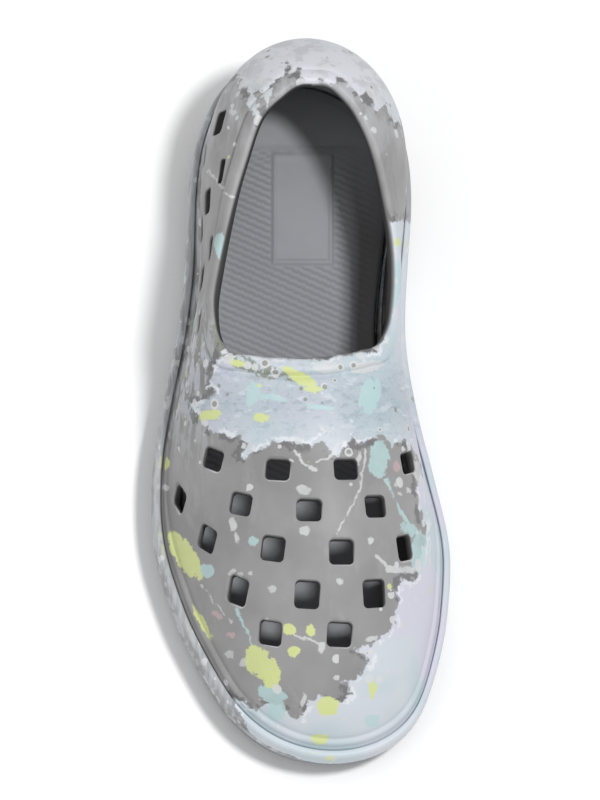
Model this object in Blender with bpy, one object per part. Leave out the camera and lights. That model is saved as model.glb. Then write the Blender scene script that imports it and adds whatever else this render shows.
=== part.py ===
"""Perforated slip-on sneaker, right shoe: a moulded upper on a cup sole, with a tread plate and a footbed.

Metres, +Z up, toe towards -Y, heel towards +Y, medial (inner) side towards +X.
Sizes below are in millimetres and are turned into metres where vertices are made.
"""

import math

import bmesh
import bpy
import numpy as np
from mathutils import Matrix, Vector

MM = 0.001

# Overall sizes
LENGTH = 208.0
HALF = LENGTH / 2

# Sole plan. Each row: share of the length from the toe, half width over the sine of the
# turn, middle line towards the medial side (both as shares of the length).
PLAN_ROWS = (
    # share, half_width, middle
    (0.00, 0.282, 0.0350),
    (0.04, 0.263, 0.0320),
    (0.10, 0.239, 0.0255),
    (0.20, 0.2245, 0.0135),
    (0.30, 0.2145, 0.0025),
    (0.40, 0.1925, -0.0080),
    (0.50, 0.1700, -0.0120),
    (0.60, 0.1570, -0.0090),
    (0.70, 0.1635, -0.0010),
    (0.80, 0.1880, 0.0045),
    (0.90, 0.2220, 0.0070),
    (0.96, 0.2450, 0.0065),
    (1.00, 0.2600, 0.0060),
)

# Heights above the floor along the shoe. Each row: share of the length from the toe,
# top of the sole's ledge, floor of the footbed well above the bottom.
HEIGHT_ROWS = (
    # share, ledge, well
    (0.00, 18.2, 8.4),
    (0.15, 16.6, 8.4),
    (0.35, 15.6, 8.6),
    (0.55, 16.6, 9.8),
    (0.75, 18.8, 11.6),
    (1.00, 21.4, 12.0),
)

# Toe spring, arch and heel bevel of the bottom
TOE_SPRING = 6.2
TOE_SPRING_FROM = -0.30 * LENGTH
ARCH_RISE = 1.0
ARCH_FROM = -0.10 * LENGTH
ARCH_TO = 0.20 * LENGTH
HEEL_BEVEL = 1.6
HEEL_BEVEL_FROM = 0.41 * LENGTH

# Plates, gaps and ledges, measured inwards from the plan outline or upwards
GAP = 0.3
PLATE = 4.2
PLATE_INSET = 1.8
TREAD_RIM = 4.15
TREAD_DEPTH = 1.8
SEAT_DROP = 1.4
SEAT_FROM = 2.1
SEAT_TO = 7.4
FOOTBED = 3.0
FOOTBED_INSET = 8.8
FOOTBED_CUP = 1.4

# Wall of the upper, its collar lip and the bead at its foot
WALL = 3.0
WALL_INSET = 3.9
BEAD_OUT = 0.8
BEAD_HIGH = 3.2
LIP_OUT = 0.7
LIP_WIDE = 4.2

# Crest of the collar. Each row: turn round the sole in half turns (0 toe, 1 heel, medial
# side first), place across, place along (shares of the length) and height (mm).
COLLAR_ROWS = (
    # turn, across, along, height
    (0.000, 0.0030, -0.0095, 57.0),
    (0.220, 0.0320, -0.0045, 56.4),
    (0.358, 0.0630, 0.0050, 55.2),
    (0.454, 0.0935, 0.0220, 53.2),
    (0.515, 0.1095, 0.0580, 51.6),
    (0.570, 0.1155, 0.1210, 50.8),
    (0.619, 0.1130, 0.1790, 51.4),
    (0.667, 0.1020, 0.2370, 53.0),
    (0.727, 0.0855, 0.2950, 56.0),
    (0.789, 0.0635, 0.3400, 58.6),
    (0.860, 0.0390, 0.3680, 60.2),
    (1.000, 0.0030, 0.3800, 61.0),
    (1.147, -0.0400, 0.3640, 60.2),
    (1.211, -0.0700, 0.3330, 58.6),
    (1.281, -0.0915, 0.2740, 56.0),
    (1.354, -0.1115, 0.2050, 53.0),
    (1.420, -0.1285, 0.1260, 51.2),
    (1.463, -0.1350, 0.0810, 50.8),
    (1.509, -0.1310, 0.0350, 51.6),
    (1.555, -0.1175, 0.0050, 53.2),
    (1.626, -0.0850, -0.0050, 55.0),
    (1.780, -0.0400, -0.0100, 56.4),
)

# Wall profile from foot to collar, an arc of a rounded oval. Each row: turn, angle where
# the arc starts, angle where it ends (degrees) and how full the shoulder is.
PROFILE_ROWS = (
    # turn, start, end, full
    (0.00, 2.0, 84.0, 1.95),
    (0.18, 2.0, 80.0, 1.62),
    (0.35, 2.0, 76.0, 1.34),
    (0.50, -8.0, 70.0, 1.60),
    (0.65, -14.0, 68.0, 2.00),
    (0.85, -16.0, 66.0, 2.00),
    (1.00, -18.0, 64.0, 2.00),
    (1.15, -16.0, 66.0, 2.00),
    (1.35, -14.0, 68.0, 2.00),
    (1.50, -8.0, 70.0, 1.60),
    (1.65, 2.0, 76.0, 1.34),
    (1.82, 2.0, 80.0, 1.62),
)

# Vamp holes. Each row: place along (share of the length), number of holes, place of the first
# from the middle (pitches, minus is lateral), middle of the row (mm), sweep towards the heel
# away from the middle (mm per mm squared), slant towards the heel on the lateral side (mm per
# mm), height of a hole (mm). A hole turns by a part of its row's sweep and slant.
HOLE = 6.8
HOLE_CORNER = 1.0
HOLE_PITCH = 18.7
LATERAL_FALL = 105.0  # how soon the rows give way to the wall's fall, mm, lateral side
MEDIAL_FALL = 300.0  # and medial side
HOLE_TURN = 0.42
SLANT_TURN = 0.5
VAMP_ROWS = (
    # along, holes, start, middle, sweep, slant, high
    (-0.160, 4, -1.5, -0.8, 0.0100, 0.01, 5.8),
    (-0.211, 4, -2.0, -1.6, 0.0094, 0.045, 6.1),
    (-0.264, 4, -1.5, -1.9, 0.0095, 0.085, 6.9),
    (-0.3175, 3, -1.0, -1.8, 0.0080, 0.085, 7.7),
    (-0.362, 2, -0.5, -2.0, 0.0, 0.085, 6.8),
)

# Quarter holes. Each row: side (1 medial, -1 lateral), first place along (share of the
# length), number of holes towards the toe, height of the first (share of the wall), how much
# each next one is lower, height of a hole (mm).
QUARTER_PITCH = 21.0
QUARTER_ROWS = (
    # side, along, holes, level, drop, high
    (-1, 0.275, 3, 0.77, 0.04, 3.4),
    (-1, 0.352, 3, 0.56, 0.06, 7.4),
    (-1, 0.330, 3, 0.24, 0.02, 7.0),
    (1, 0.175, 2, 0.64, 0.0, 3.4),
    (1, 0.250, 3, 0.42, 0.0, 7.0),
    (1, 0.330, 3, 0.17, 0.0, 6.0),
)

# Tread lattice seen from above: one node and two steps (mm)
LUG_AT = (4.6, -44.8)
LUG_STEP_A = (-14.9, 6.9)
LUG_STEP_C = (-1.57, 16.5)
DIAMOND = 0.71
DIAMOND_PIT = 0.25
PIT_DEPTH = 1.2
HEXAGON_FLAT = 10.6
HEXAGONS_FROM = -0.27 * LENGTH
HEXAGONS_TO = -0.015 * LENGTH

# Mesh steps
UPPER_COLUMNS = 72
SOLE_COLUMNS = 64
FOOTBED_COLUMNS = 48
OUTER_STEPS = (0.0, 0.055, 0.115, 0.18, 0.255, 0.34, 0.44, 0.56, 0.70, 0.85, 1.0)
INNER_STEPS = (0.0, 0.15, 0.32, 0.52, 0.70, 0.82, 0.92, 1.0)


def smooth_rows(rows, column, at, period=None):
    """A smooth curve through one column of a table, at the values asked for."""
    place = np.array([row[0] for row in rows], float)
    value = np.array([row[column] for row in rows], float)
    at = np.asarray(at, float)
    if period:
        place = np.concatenate([place - period, place, place + period])
        value = np.tile(value, 3)
        at = np.mod(at, period)
    slope = np.gradient(value, place)
    if not period:
        slope[0] = (value[1] - value[0]) / (place[1] - place[0])
        slope[-1] = (value[-1] - value[-2]) / (place[-1] - place[-2])
    i = np.clip(np.searchsorted(place, at, side="right") - 1, 0, len(place) - 2)
    step = place[i + 1] - place[i]
    t = np.clip((at - place[i]) / step, 0, 1)
    return (
        (2 * t**3 - 3 * t**2 + 1) * value[i]
        + (t**3 - 2 * t**2 + t) * step * slope[i]
        + (3 * t**2 - 2 * t**3) * value[i + 1]
        + (t**3 - t**2) * step * slope[i + 1]
    )


def outline(turn, inset):
    """Plan of the sole at a turn (radians, 0 toe, pi heel, medial first), moved inwards."""
    share = (1 - np.cos(turn)) / 2
    half_width = smooth_rows(PLAN_ROWS, 1, share) * LENGTH
    middle = smooth_rows(PLAN_ROWS, 2, share) * LENGTH
    across = middle - MIDDLE_SHIFT + (half_width - inset) * np.sin(turn)
    along = -(HALF - inset) * np.cos(turn)
    return across, along


def share_of(along):
    return np.clip((np.asarray(along, float) + HALF) / LENGTH, 0, 1)


def bottom(along):
    """Height of the walking face: toe spring, flat forefoot, slight arch, heel and its bevel."""
    along = np.asarray(along, float)
    toe = np.clip((TOE_SPRING_FROM - along) / (TOE_SPRING_FROM + HALF), 0, None)
    heel = np.clip((along - HEEL_BEVEL_FROM) / (HALF - HEEL_BEVEL_FROM), 0, None)
    arch = np.clip((along - ARCH_FROM) / (ARCH_TO - ARCH_FROM), 0, 1)
    return (
        TOE_SPRING * toe**2
        + HEEL_BEVEL * heel**2
        + ARCH_RISE * (1 - np.cos(2 * math.pi * arch)) / 2
    )


def ledge(along):
    return smooth_rows(HEIGHT_ROWS, 1, share_of(along))


def well(along):
    return bottom(along) + smooth_rows(HEIGHT_ROWS, 2, share_of(along))


def turns(count):
    return np.arange(count) * 2 * math.pi / count


MIDDLE_SHIFT = 0.0
_across = outline(turns(720), 0.0)[0]
MIDDLE_SHIFT = float(_across.max() + _across.min()) / 2


def wall_line(turn, samples=240):
    """One line up the outside of the upper's wall, foot to collar crest, as fine points."""
    half_turns = turn / math.pi
    foot_x, foot_y = outline(turn, WALL_INSET)
    foot_z = ledge(foot_y) - SEAT_DROP + GAP
    crest_x = smooth_rows(COLLAR_ROWS, 1, half_turns, 2) * LENGTH
    crest_y = smooth_rows(COLLAR_ROWS, 2, half_turns, 2) * LENGTH
    crest_z = smooth_rows(COLLAR_ROWS, 3, half_turns, 2)
    start = math.radians(float(smooth_rows(PROFILE_ROWS, 1, half_turns, 2)))
    end = math.radians(float(smooth_rows(PROFILE_ROWS, 2, half_turns, 2)))
    full = float(smooth_rows(PROFILE_ROWS, 3, half_turns, 2))
    angle = np.linspace(start, end, samples)
    level = np.sign(np.sin(angle)) * np.abs(np.sin(angle)) ** (2 / full)
    inward = (math.cos(start) - np.cos(angle)) / (math.cos(start) - math.cos(end))
    upward = (level - level[0]) / (level[-1] - level[0])
    return np.stack(
        [
            foot_x + (crest_x - foot_x) * inward,
            foot_y + (crest_y - foot_y) * inward,
            foot_z + (crest_z - foot_z) * upward,
        ],
        axis=-1,
    )


def lengths_along(line):
    return np.concatenate([[0], np.cumsum(np.linalg.norm(np.diff(line, axis=0), axis=1))])


def points_at(line, distances):
    walked = lengths_along(line)
    return np.stack([np.interp(distances, walked, line[:, k]) for k in range(3)], axis=-1)


def wall_grid(columns, shares):
    """Points and outward normals of the wall on a grid of columns and shares of its height."""
    step = 1e-3
    rows, normals = [], []
    for turn in turns(columns):
        line = wall_line(turn)
        before = wall_line(turn - step)
        after = wall_line(turn + step)
        whole = lengths_along(line)[-1]
        here = points_at(line, np.asarray(shares) * whole)
        up = points_at(line, np.minimum(np.asarray(shares) + 0.004, 1) * whole)
        down = points_at(line, np.maximum(np.asarray(shares) - 0.004, 0) * whole)
        left = points_at(before, np.asarray(shares) * lengths_along(before)[-1])
        right = points_at(after, np.asarray(shares) * lengths_along(after)[-1])
        normal = np.cross(right - left, up - down)
        normal /= np.linalg.norm(normal, axis=1, keepdims=True)
        rows.append(here)
        normals.append(normal)
    return np.array(rows), np.array(normals)


def new_object(name, points, faces, collection, color=(0.6, 0.6, 0.6, 1), rough=0.6):
    mesh = bpy.data.meshes.new(name)
    mesh.from_pydata([tuple(p * MM for p in point) for point in points], [], faces)
    mesh.validate()
    work = bmesh.new()
    work.from_mesh(mesh)
    bmesh.ops.recalc_face_normals(work, faces=work.faces)
    work.to_mesh(mesh)
    work.free()
    obj = bpy.data.objects.new(name, mesh)
    collection.objects.link(obj)
    material = bpy.data.materials.new(name)
    material.use_nodes = True
    shader = material.node_tree.nodes["Principled BSDF"]
    shader.inputs["Base Color"].default_value = color
    shader.inputs["Roughness"].default_value = rough
    mesh.materials.append(material)
    return obj


def ring_faces(rings, count, closed=False):
    """Quads between rings of points, ring after ring; closed joins the last to the first."""
    faces = []
    for ring in range(rings if closed else rings - 1):
        low = ring * count
        high = ((ring + 1) % rings) * count
        for i in range(count):
            j = (i + 1) % count
            faces.append((low + i, low + j, high + j, high + i))
    return faces


def across_faces(first, count):
    """A cap over one ring, as strips from the medial to the lateral side."""
    faces = [(first, first + 1, first + count - 1)]
    half = count // 2
    for i in range(1, half - 1):
        faces.append((first + i, first + i + 1, first + count - i - 1, first + count - i))
    faces.append((first + half - 1, first + half, first + half + 1))
    return faces


def plate_solid(name, rings, count, collection, color, rough):
    """A closed solid from rings of (inset, height function), bottom ring first, capped at both ends."""
    points = []
    for inset, height in rings:
        across, along = outline(turns(count), inset)
        points += list(zip(across, along, height(along)))
    faces = ring_faces(len(rings), count)
    faces += across_faces(0, count)
    faces += across_faces((len(rings) - 1) * count, count)
    return new_object(name, points, faces, collection, color, rough)


def prism(corners, low, high):
    """Points and faces of an upright prism over plan corners."""
    count = len(corners)
    points = [(x, y, low) for x, y in corners] + [(x, y, high) for x, y in corners]
    faces = [tuple(range(count)), tuple(range(count, 2 * count))]
    faces += [(i, (i + 1) % count, count + (i + 1) % count, count + i) for i in range(count)]
    return points, faces


def joined(name, solids, collection):
    points, faces = [], []
    for more_points, more_faces in solids:
        base = len(points)
        points += more_points
        faces += [tuple(base + i for i in face) for face in more_faces]
    obj = new_object(name, points, faces, collection)
    obj.hide_render = True
    obj.display_type = "WIRE"
    return obj


def cut(obj, cutter, operation="DIFFERENCE"):
    modifier = obj.modifiers.new("cut " + cutter.name, "BOOLEAN")
    modifier.operation = operation
    modifier.object = cutter
    modifier.solver = "EXACT"


def settle(obj):
    """The object's mesh becomes what its modifiers make of it."""
    bpy.context.view_layer.update()
    graph = bpy.context.evaluated_depsgraph_get()
    mesh = bpy.data.meshes.new_from_object(obj.evaluated_get(graph))
    obj.modifiers.clear()
    obj.data = mesh


def build_upper(shoe, cutters):
    count = UPPER_COLUMNS
    outer, inner, crest = [], [], []
    for turn in turns(count):
        line = wall_line(turn)
        ahead = wall_line(turn + 1e-3)
        behind = wall_line(turn - 1e-3)
        whole = lengths_along(line)[-1]
        main_from = BEAD_HIGH + 0.5
        main_to = whole - LIP_WIDE
        main = [main_from + (main_to - main_from) * t for t in OUTER_STEPS]
        stops = [0.0, BEAD_HIGH - 1.0, BEAD_HIGH - 0.2] + main + [whole - LIP_WIDE + 0.6, whole - 0.9]
        lift = [BEAD_OUT, BEAD_OUT, BEAD_OUT * 0.7] + [0.0] * len(main) + [LIP_OUT, LIP_OUT]
        stops = np.array(stops)
        share = stops / whole

        def normal_at(shares):
            up = points_at(line, np.minimum(shares + 0.004, 1) * whole)
            down = points_at(line, np.maximum(shares - 0.004, 0) * whole)
            right = points_at(ahead, shares * lengths_along(ahead)[-1])
            left = points_at(behind, shares * lengths_along(behind)[-1])
            normal = np.cross(right - left, up - down)
            return normal / np.linalg.norm(normal, axis=1, keepdims=True)

        normals = normal_at(share)
        # The foot of the wall keeps its height, so that its rim lies flat on the seat.
        level = np.clip((stops - 0.0) / BEAD_HIGH, 0, 1)[:, None]
        flat = normals * [1, 1, 0]
        flat /= np.linalg.norm(flat, axis=1, keepdims=True)
        normals = flat * (1 - level) + normals * level
        normals /= np.linalg.norm(normals, axis=1, keepdims=True)
        outer.append(points_at(line, stops) + normals * np.array(lift)[:, None])
        top = points_at(line, np.array([whole]))[0]
        top_normal = normal_at(np.array([1.0]))[0]
        up = points_at(line, np.array([whole]))[0] - points_at(line, np.array([whole - 0.5]))[0]
        up /= np.linalg.norm(up)
        middle = top + top_normal * (LIP_OUT - WALL) / 2
        spread = (WALL + LIP_OUT) / 2
        crest.append(
            [
                middle + top_normal * spread * 0.62 + up * 0.35,
                middle + up * 0.75,
                middle - top_normal * spread * 0.62 + up * 0.35,
            ]
        )
        stops = np.array([whole * t for t in INNER_STEPS])[::-1]
        stops[0] = whole - 0.9
        normals = normal_at(stops / whole)
        level = np.clip(stops / BEAD_HIGH, 0, 1)[:, None]
        flat = normals * [1, 1, 0]
        flat /= np.linalg.norm(flat, axis=1, keepdims=True)
        normals = flat * (1 - level) + normals * level
        normals /= np.linalg.norm(normals, axis=1, keepdims=True)
        inner.append(points_at(line, stops) - normals * WALL)
    rings = (
        [[column[k] for column in outer] for k in range(len(outer[0]))]
        + [[column[k] for column in crest] for k in range(3)]
        + [[column[k] for column in inner] for k in range(len(inner[0]))]
    )
    points = [tuple(point) for ring in rings for point in ring]
    faces = ring_faces(len(rings), count, closed=True)
    upper = new_object("upper", points, faces, shoe, (0.33, 0.32, 0.32, 1), 0.55)
    cutter = joined("upper_holes", [hole_prism(*hole) for hole in hole_places()], cutters)
    cut(upper, cutter)
    return upper


def hole_places():
    """(centre, normal, direction along the row, half length, half height) of each hole."""
    shares = np.linspace(0, 1, 121)
    points, normals = wall_grid(240, shares)
    found = []
    vamp = points[:, :, 1] < 0.02 * LENGTH
    for along, holes, start, middle, sweep, slant, high in VAMP_ROWS:
        for k in range(int(holes)):
            offset = (start + k) * HOLE_PITCH
            fall = LATERAL_FALL if offset < 0 else MEDIAL_FALL
            # The pitch is walked along the surface, which falls away at the sides.
            reach = offset / (1 + (offset / fall) ** 2)
            back = sweep * reach**2 - slant * reach
            target = np.array([middle + reach, along * LENGTH + back])
            apart = np.linalg.norm(points[:, :, :2] - target, axis=2) + np.where(vamp, 0, 1e3)
            i, j = np.unravel_index(np.argmin(apart), apart.shape)
            row_way = np.array([1.0, HOLE_TURN * 2 * sweep * reach - SLANT_TURN * slant, 0.0])
            centre = np.array([target[0], target[1], points[i, j][2]])
            found.append((centre, normals[i, j], row_way, HOLE / 2, high / 2))
    for side, along, holes, first_level, drop, high in QUARTER_ROWS:
        for k in range(int(holes)):
            y = along * LENGTH - k * QUARTER_PITCH
            level = first_level - k * drop
            column = points[:, int(level * 120), :]
            right_side = np.where(np.sign(column[:, 0] - 1.0) == side, 0, 1e3)
            i = int(np.argmin(np.abs(column[:, 1] - y) + right_side))
            j = int(level * 120)
            ahead = points[(i + 1) % 240, j] - points[i - 1, j]
            found.append((points[i, j], normals[i, j], ahead, HOLE / 2, high / 2))
    return found


def hole_prism(centre, normal, row_way, half_long, half_high):
    """A chamfered square bar through the wall, square to it."""
    normal = Vector(normal).normalized()
    along = Vector(row_way)
    along = (along - along.dot(normal) * normal).normalized()
    up = normal.cross(along)
    c = min(HOLE_CORNER, half_high * 0.5)
    corners = []
    for sx, sy, first in ((1, 1, 0), (-1, 1, 1), (-1, -1, 0), (1, -1, 1)):
        pair = [
            (sx * half_long, sy * (half_high - c)),
            (sx * (half_long - c), sy * half_high),
        ]
        corners += pair[::-1] if first else pair
    middle = Vector(centre)
    points = []
    for depth in (-WALL - 4.0, 4.0):
        for x, y in corners:
            points.append(tuple(middle + along * x + up * y + normal * depth))
    count = len(corners)
    faces = [tuple(range(count)), tuple(range(count, 2 * count))]
    faces += [(i, (i + 1) % count, count + (i + 1) % count, count + i) for i in range(count)]
    return points, faces


def build_midsole(shoe):
    def from_bottom(rise):
        return lambda along: bottom(along) + PLATE + GAP + rise

    def from_ledge(drop):
        return lambda along: ledge(along) - drop

    def between(share):
        return lambda along: (bottom(along) + PLATE + GAP) * (1 - share) + ledge(along) * share

    def from_well(rise):
        return lambda along: well(along) + rise

    rings = (
        (PLATE_INSET + 1.0, from_bottom(0.0)),
        (PLATE_INSET - 0.6, from_bottom(0.0)),
        (PLATE_INSET - 1.2, from_bottom(0.6)),
        (0.35, between(0.40)),
        (0.0, between(0.66)),
        (0.0, from_ledge(1.2)),
        (0.7, from_ledge(0.15)),
        (1.1, from_ledge(0.0)),
        (SEAT_FROM, from_ledge(0.0)),
        (SEAT_FROM + 0.15, from_ledge(SEAT_DROP)),
        (SEAT_TO, from_ledge(SEAT_DROP)),
        (SEAT_TO + 0.5, from_well(0.8)),
        (SEAT_TO + 1.3, from_well(0.0)),
    )
    return plate_solid("midsole", rings, SOLE_COLUMNS, shoe, (0.5, 0.5, 0.52, 1), 0.6)


def build_insole(shoe):
    def above_well(rise):
        return lambda along: well(along) + GAP + rise

    rings = (
        (FOOTBED_INSET + 0.9, above_well(0.0)),
        (FOOTBED_INSET, above_well(0.9)),
        (FOOTBED_INSET, above_well(FOOTBED + FOOTBED_CUP - 0.3)),
        (FOOTBED_INSET + 0.8, above_well(FOOTBED + FOOTBED_CUP)),
        (FOOTBED_INSET + 4.0, above_well(FOOTBED + FOOTBED_CUP * 0.35)),
        (FOOTBED_INSET + 9.0, above_well(FOOTBED)),
    )
    return plate_solid("insole", rings, FOOTBED_COLUMNS, shoe, (0.27, 0.27, 0.29, 1), 0.8)


def lug_nodes():
    """Lattice points under the shoe, with a margin."""
    found = []
    for i in range(-9, 10):
        for j in range(-9, 12):
            x = LUG_AT[0] + i * LUG_STEP_A[0] + j * LUG_STEP_C[0] - MIDDLE_SHIFT
            y = LUG_AT[1] + i * LUG_STEP_A[1] + j * LUG_STEP_C[1]
            if abs(x) < 55 and abs(y) < HALF + 8:
                found.append((x, y))
    return found


def diamond_corners(x, y, scale):
    """The lattice's own parallelogram about a node, scaled: sides along its two long steps."""
    a = np.array(LUG_STEP_A)
    b = a - np.array(LUG_STEP_C)
    return [
        tuple(np.array([x, y]) + scale * (p * a + q * b) / 2)
        for p, q in ((1, 1), (-1, 1), (-1, -1), (1, -1))
    ]


def hexagon_corners(x, y):
    """A six-sided lug about a node, its flats facing its six neighbours."""
    toward = math.atan2(LUG_STEP_A[1], LUG_STEP_A[0])
    radius = HEXAGON_FLAT / 2 / math.cos(math.pi / 6)
    return [
        (
            x + radius * math.cos(toward + math.pi / 6 + k * math.pi / 3),
            y + radius * math.sin(toward + math.pi / 6 + k * math.pi / 3),
        )
        for k in range(6)
    ]


def build_outsole(shoe, cutters):
    count = SOLE_COLUMNS
    rings = (
        (PLATE_INSET + 0.5, lambda along: 0 * along),
        (PLATE_INSET, lambda along: 0 * along + 0.5),
        (PLATE_INSET, lambda along: 0 * along + PLATE),
    )
    outsole = plate_solid("outsole", rings, count, shoe, (0.3, 0.31, 0.33, 1), 0.7)
    # The recess with its lugs left out takes the tread from the plate.
    recess = plate_solid(
        "tread_recess",
        (
            (PLATE_INSET + TREAD_RIM, lambda along: 0 * along - 2.0),
            (PLATE_INSET + TREAD_RIM, lambda along: 0 * along + TREAD_DEPTH),
        ),
        count,
        cutters,
        (1, 0, 0, 1),
        0.5,
    )
    recess.hide_render = True
    recess.display_type = "WIRE"
    lugs, pits = [], []
    pit_edge = PLATE_INSET + TREAD_RIM + 4.5
    for x, y in lug_nodes():
        if HEXAGONS_FROM < y < HEXAGONS_TO:
            lugs.append(prism(hexagon_corners(x, y), -4.0, TREAD_DEPTH + 2.0))
            continue
        lugs.append(prism(diamond_corners(x, y, DIAMOND), -4.0, TREAD_DEPTH + 2.0))
        if y >= HEXAGONS_TO and inside_outline(x, y, pit_edge):
            pits.append(prism(diamond_corners(x, y, DIAMOND_PIT), -4.0, PIT_DEPTH))
    cut(recess, joined("tread_lugs", lugs, cutters))
    settle(recess)
    cut(outsole, joined("tread_pits", pits, cutters))
    settle(outsole)
    cut(outsole, recess)
    settle(outsole)
    bend(outsole)
    return outsole


def inside_outline(x, y, inset):
    if abs(y) >= HALF - inset:
        return False
    turn = math.acos(-y / (HALF - inset))
    medial = outline(turn, inset)[0]
    lateral = outline(-turn, inset)[0]
    return lateral < x < medial


def bend(obj):
    """Slices the flat plate across and lifts it to the bottom's curve."""
    work = bmesh.new()
    work.from_mesh(obj.data)
    bmesh.ops.triangulate(work, faces=work.faces[:])
    places = list(np.linspace(-HALF + 3.2, TOE_SPRING_FROM, 9))
    places += list(np.linspace(ARCH_FROM, ARCH_TO, 6)[0:])
    places += list(np.linspace(HEEL_BEVEL_FROM, HALF - 3.6, 3))
    for place in places:
        geometry = work.verts[:] + work.edges[:] + work.faces[:]
        bmesh.ops.bisect_plane(
            work,
            geom=geometry,
            dist=1e-7,
            plane_co=(0, (place + 0.137) * MM, 0),
            plane_no=(0, 1, 0),
        )
    for vertex in work.verts:
        vertex.co.z += float(bottom(vertex.co.y / MM)) * MM
    bmesh.ops.triangulate(work, faces=work.faces[:])
    bmesh.ops.remove_doubles(work, verts=work.verts[:], dist=1e-7)
    work.to_mesh(obj.data)
    work.free()


def main():
    for obj in list(bpy.data.objects):
        bpy.data.objects.remove(obj, do_unlink=True)
    shoe = bpy.data.collections.new("slip_on_sneaker")
    cutters = bpy.data.collections.new("cutters")
    bpy.context.scene.collection.children.link(shoe)
    bpy.context.scene.collection.children.link(cutters)
    cutters.hide_render = True
    build_midsole(shoe)
    build_insole(shoe)
    build_outsole(shoe, cutters)
    build_upper(shoe, cutters)


main()
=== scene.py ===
"""Looks of the perforated slip-on sneaker: a right shoe in moulded foam with a splatter print.

The pieces are made again, finely, from the sizes of the CAD source, in millimetres, and take the
places of its four solids. Print shapes are placed in the plane of the photograph.
"""

import math

import bmesh
import bpy
import numpy as np
from mathutils import Matrix, Vector
from mathutils.kdtree import KDTree


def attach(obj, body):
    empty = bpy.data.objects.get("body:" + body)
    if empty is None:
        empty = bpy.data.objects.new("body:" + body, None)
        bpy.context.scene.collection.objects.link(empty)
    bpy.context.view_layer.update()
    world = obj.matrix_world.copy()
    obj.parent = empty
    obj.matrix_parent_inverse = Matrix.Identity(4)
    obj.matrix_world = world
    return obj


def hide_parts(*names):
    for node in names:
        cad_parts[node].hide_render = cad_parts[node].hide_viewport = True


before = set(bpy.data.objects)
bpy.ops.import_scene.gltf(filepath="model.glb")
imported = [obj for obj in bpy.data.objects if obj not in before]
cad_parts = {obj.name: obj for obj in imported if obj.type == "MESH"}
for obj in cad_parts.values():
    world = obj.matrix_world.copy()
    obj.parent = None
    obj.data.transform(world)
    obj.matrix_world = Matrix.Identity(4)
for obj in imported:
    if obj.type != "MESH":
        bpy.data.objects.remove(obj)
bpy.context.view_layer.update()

MM = 0.001

# Sizes of the shoe, the same as the CAD source's

LENGTH = 208.0
HALF = LENGTH / 2
PLAN_ROWS = (
    # share, half_width, middle
    (0, 0.282, 0.035), (0.04, 0.263, 0.032), (0.1, 0.239, 0.0255), (0.2, 0.2245, 0.0135),
    (0.3, 0.2145, 0.0025), (0.4, 0.1925, -0.008), (0.5, 0.17, -0.012), (0.6, 0.157, -0.009),
    (0.7, 0.1635, -0.001), (0.8, 0.188, 0.0045), (0.9, 0.222, 0.007), (0.96, 0.245, 0.0065),
    (1, 0.26, 0.006),
)
HEIGHT_ROWS = (
    # share, ledge, well
    (0, 18.2, 8.4), (0.15, 16.6, 8.4), (0.35, 15.6, 8.6), (0.55, 16.6, 9.8), (0.75, 18.8, 11.6),
    (1, 21.4, 12),
)
TOE_SPRING = 6.2
TOE_SPRING_FROM = -0.30 * LENGTH
ARCH_RISE = 1.0
ARCH_FROM = -0.10 * LENGTH
ARCH_TO = 0.20 * LENGTH
HEEL_BEVEL = 1.6
HEEL_BEVEL_FROM = 0.41 * LENGTH
GAP = 0.3
PLATE = 4.2
PLATE_INSET = 1.8
TREAD_RIM = 4.15
TREAD_DEPTH = 1.8
SEAT_DROP = 1.4
SEAT_FROM = 2.1
SEAT_TO = 7.4
FOOTBED = 3.0
FOOTBED_INSET = 8.8
WALL = 3.0
WALL_INSET = 3.9
BEAD_HIGH = 3.2
COLLAR_ROWS = (
    # turn, across, along, height
    (0, 0.003, -0.0095, 57), (0.22, 0.032, -0.0045, 56.4), (0.358, 0.063, 0.005, 55.2),
    (0.454, 0.0935, 0.022, 53.2), (0.515, 0.1095, 0.058, 51.6), (0.57, 0.1155, 0.121, 50.8),
    (0.619, 0.113, 0.179, 51.4), (0.667, 0.102, 0.237, 53), (0.727, 0.0855, 0.295, 56),
    (0.789, 0.0635, 0.34, 58.6), (0.86, 0.039, 0.368, 60.2), (1, 0.003, 0.38, 61),
    (1.147, -0.04, 0.364, 60.2), (1.211, -0.07, 0.333, 58.6), (1.281, -0.0915, 0.274, 56),
    (1.354, -0.1115, 0.205, 53), (1.42, -0.1285, 0.126, 51.2), (1.463, -0.135, 0.081, 50.8),
    (1.509, -0.131, 0.035, 51.6), (1.555, -0.1175, 0.005, 53.2), (1.626, -0.085, -0.005, 55),
    (1.78, -0.04, -0.01, 56.4),
)
PROFILE_ROWS = (
    # turn, start, end, full
    (0, 2, 84, 1.95), (0.18, 2, 80, 1.62), (0.35, 2, 76, 1.34), (0.5, -8, 70, 1.6),
    (0.65, -14, 68, 2), (0.85, -16, 66, 2), (1, -18, 64, 2), (1.15, -16, 66, 2), (1.35, -14, 68, 2),
    (1.5, -8, 70, 1.6), (1.65, 2, 76, 1.34), (1.82, 2, 80, 1.62),
)
HOLE = 6.8
HOLE_PITCH = 18.7
LATERAL_FALL = 105.0  # how soon the rows give way to the wall's fall, mm, lateral side
MEDIAL_FALL = 300.0  # and medial side
HOLE_TURN = 0.42
SLANT_TURN = 0.5
VAMP_ROWS = (
    # along, holes, start, middle, sweep, slant, high
    (-0.16, 4, -1.5, -0.8, 0.01, 0.01, 5.8), (-0.211, 4, -2, -1.6, 0.0094, 0.045, 6.1),
    (-0.264, 4, -1.5, -1.9, 0.0095, 0.085, 6.9), (-0.3175, 3, -1, -1.8, 0.008, 0.085, 7.7),
    (-0.362, 2, -0.5, -2, 0, 0.085, 6.8),
)
QUARTER_PITCH = 21.0
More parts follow.
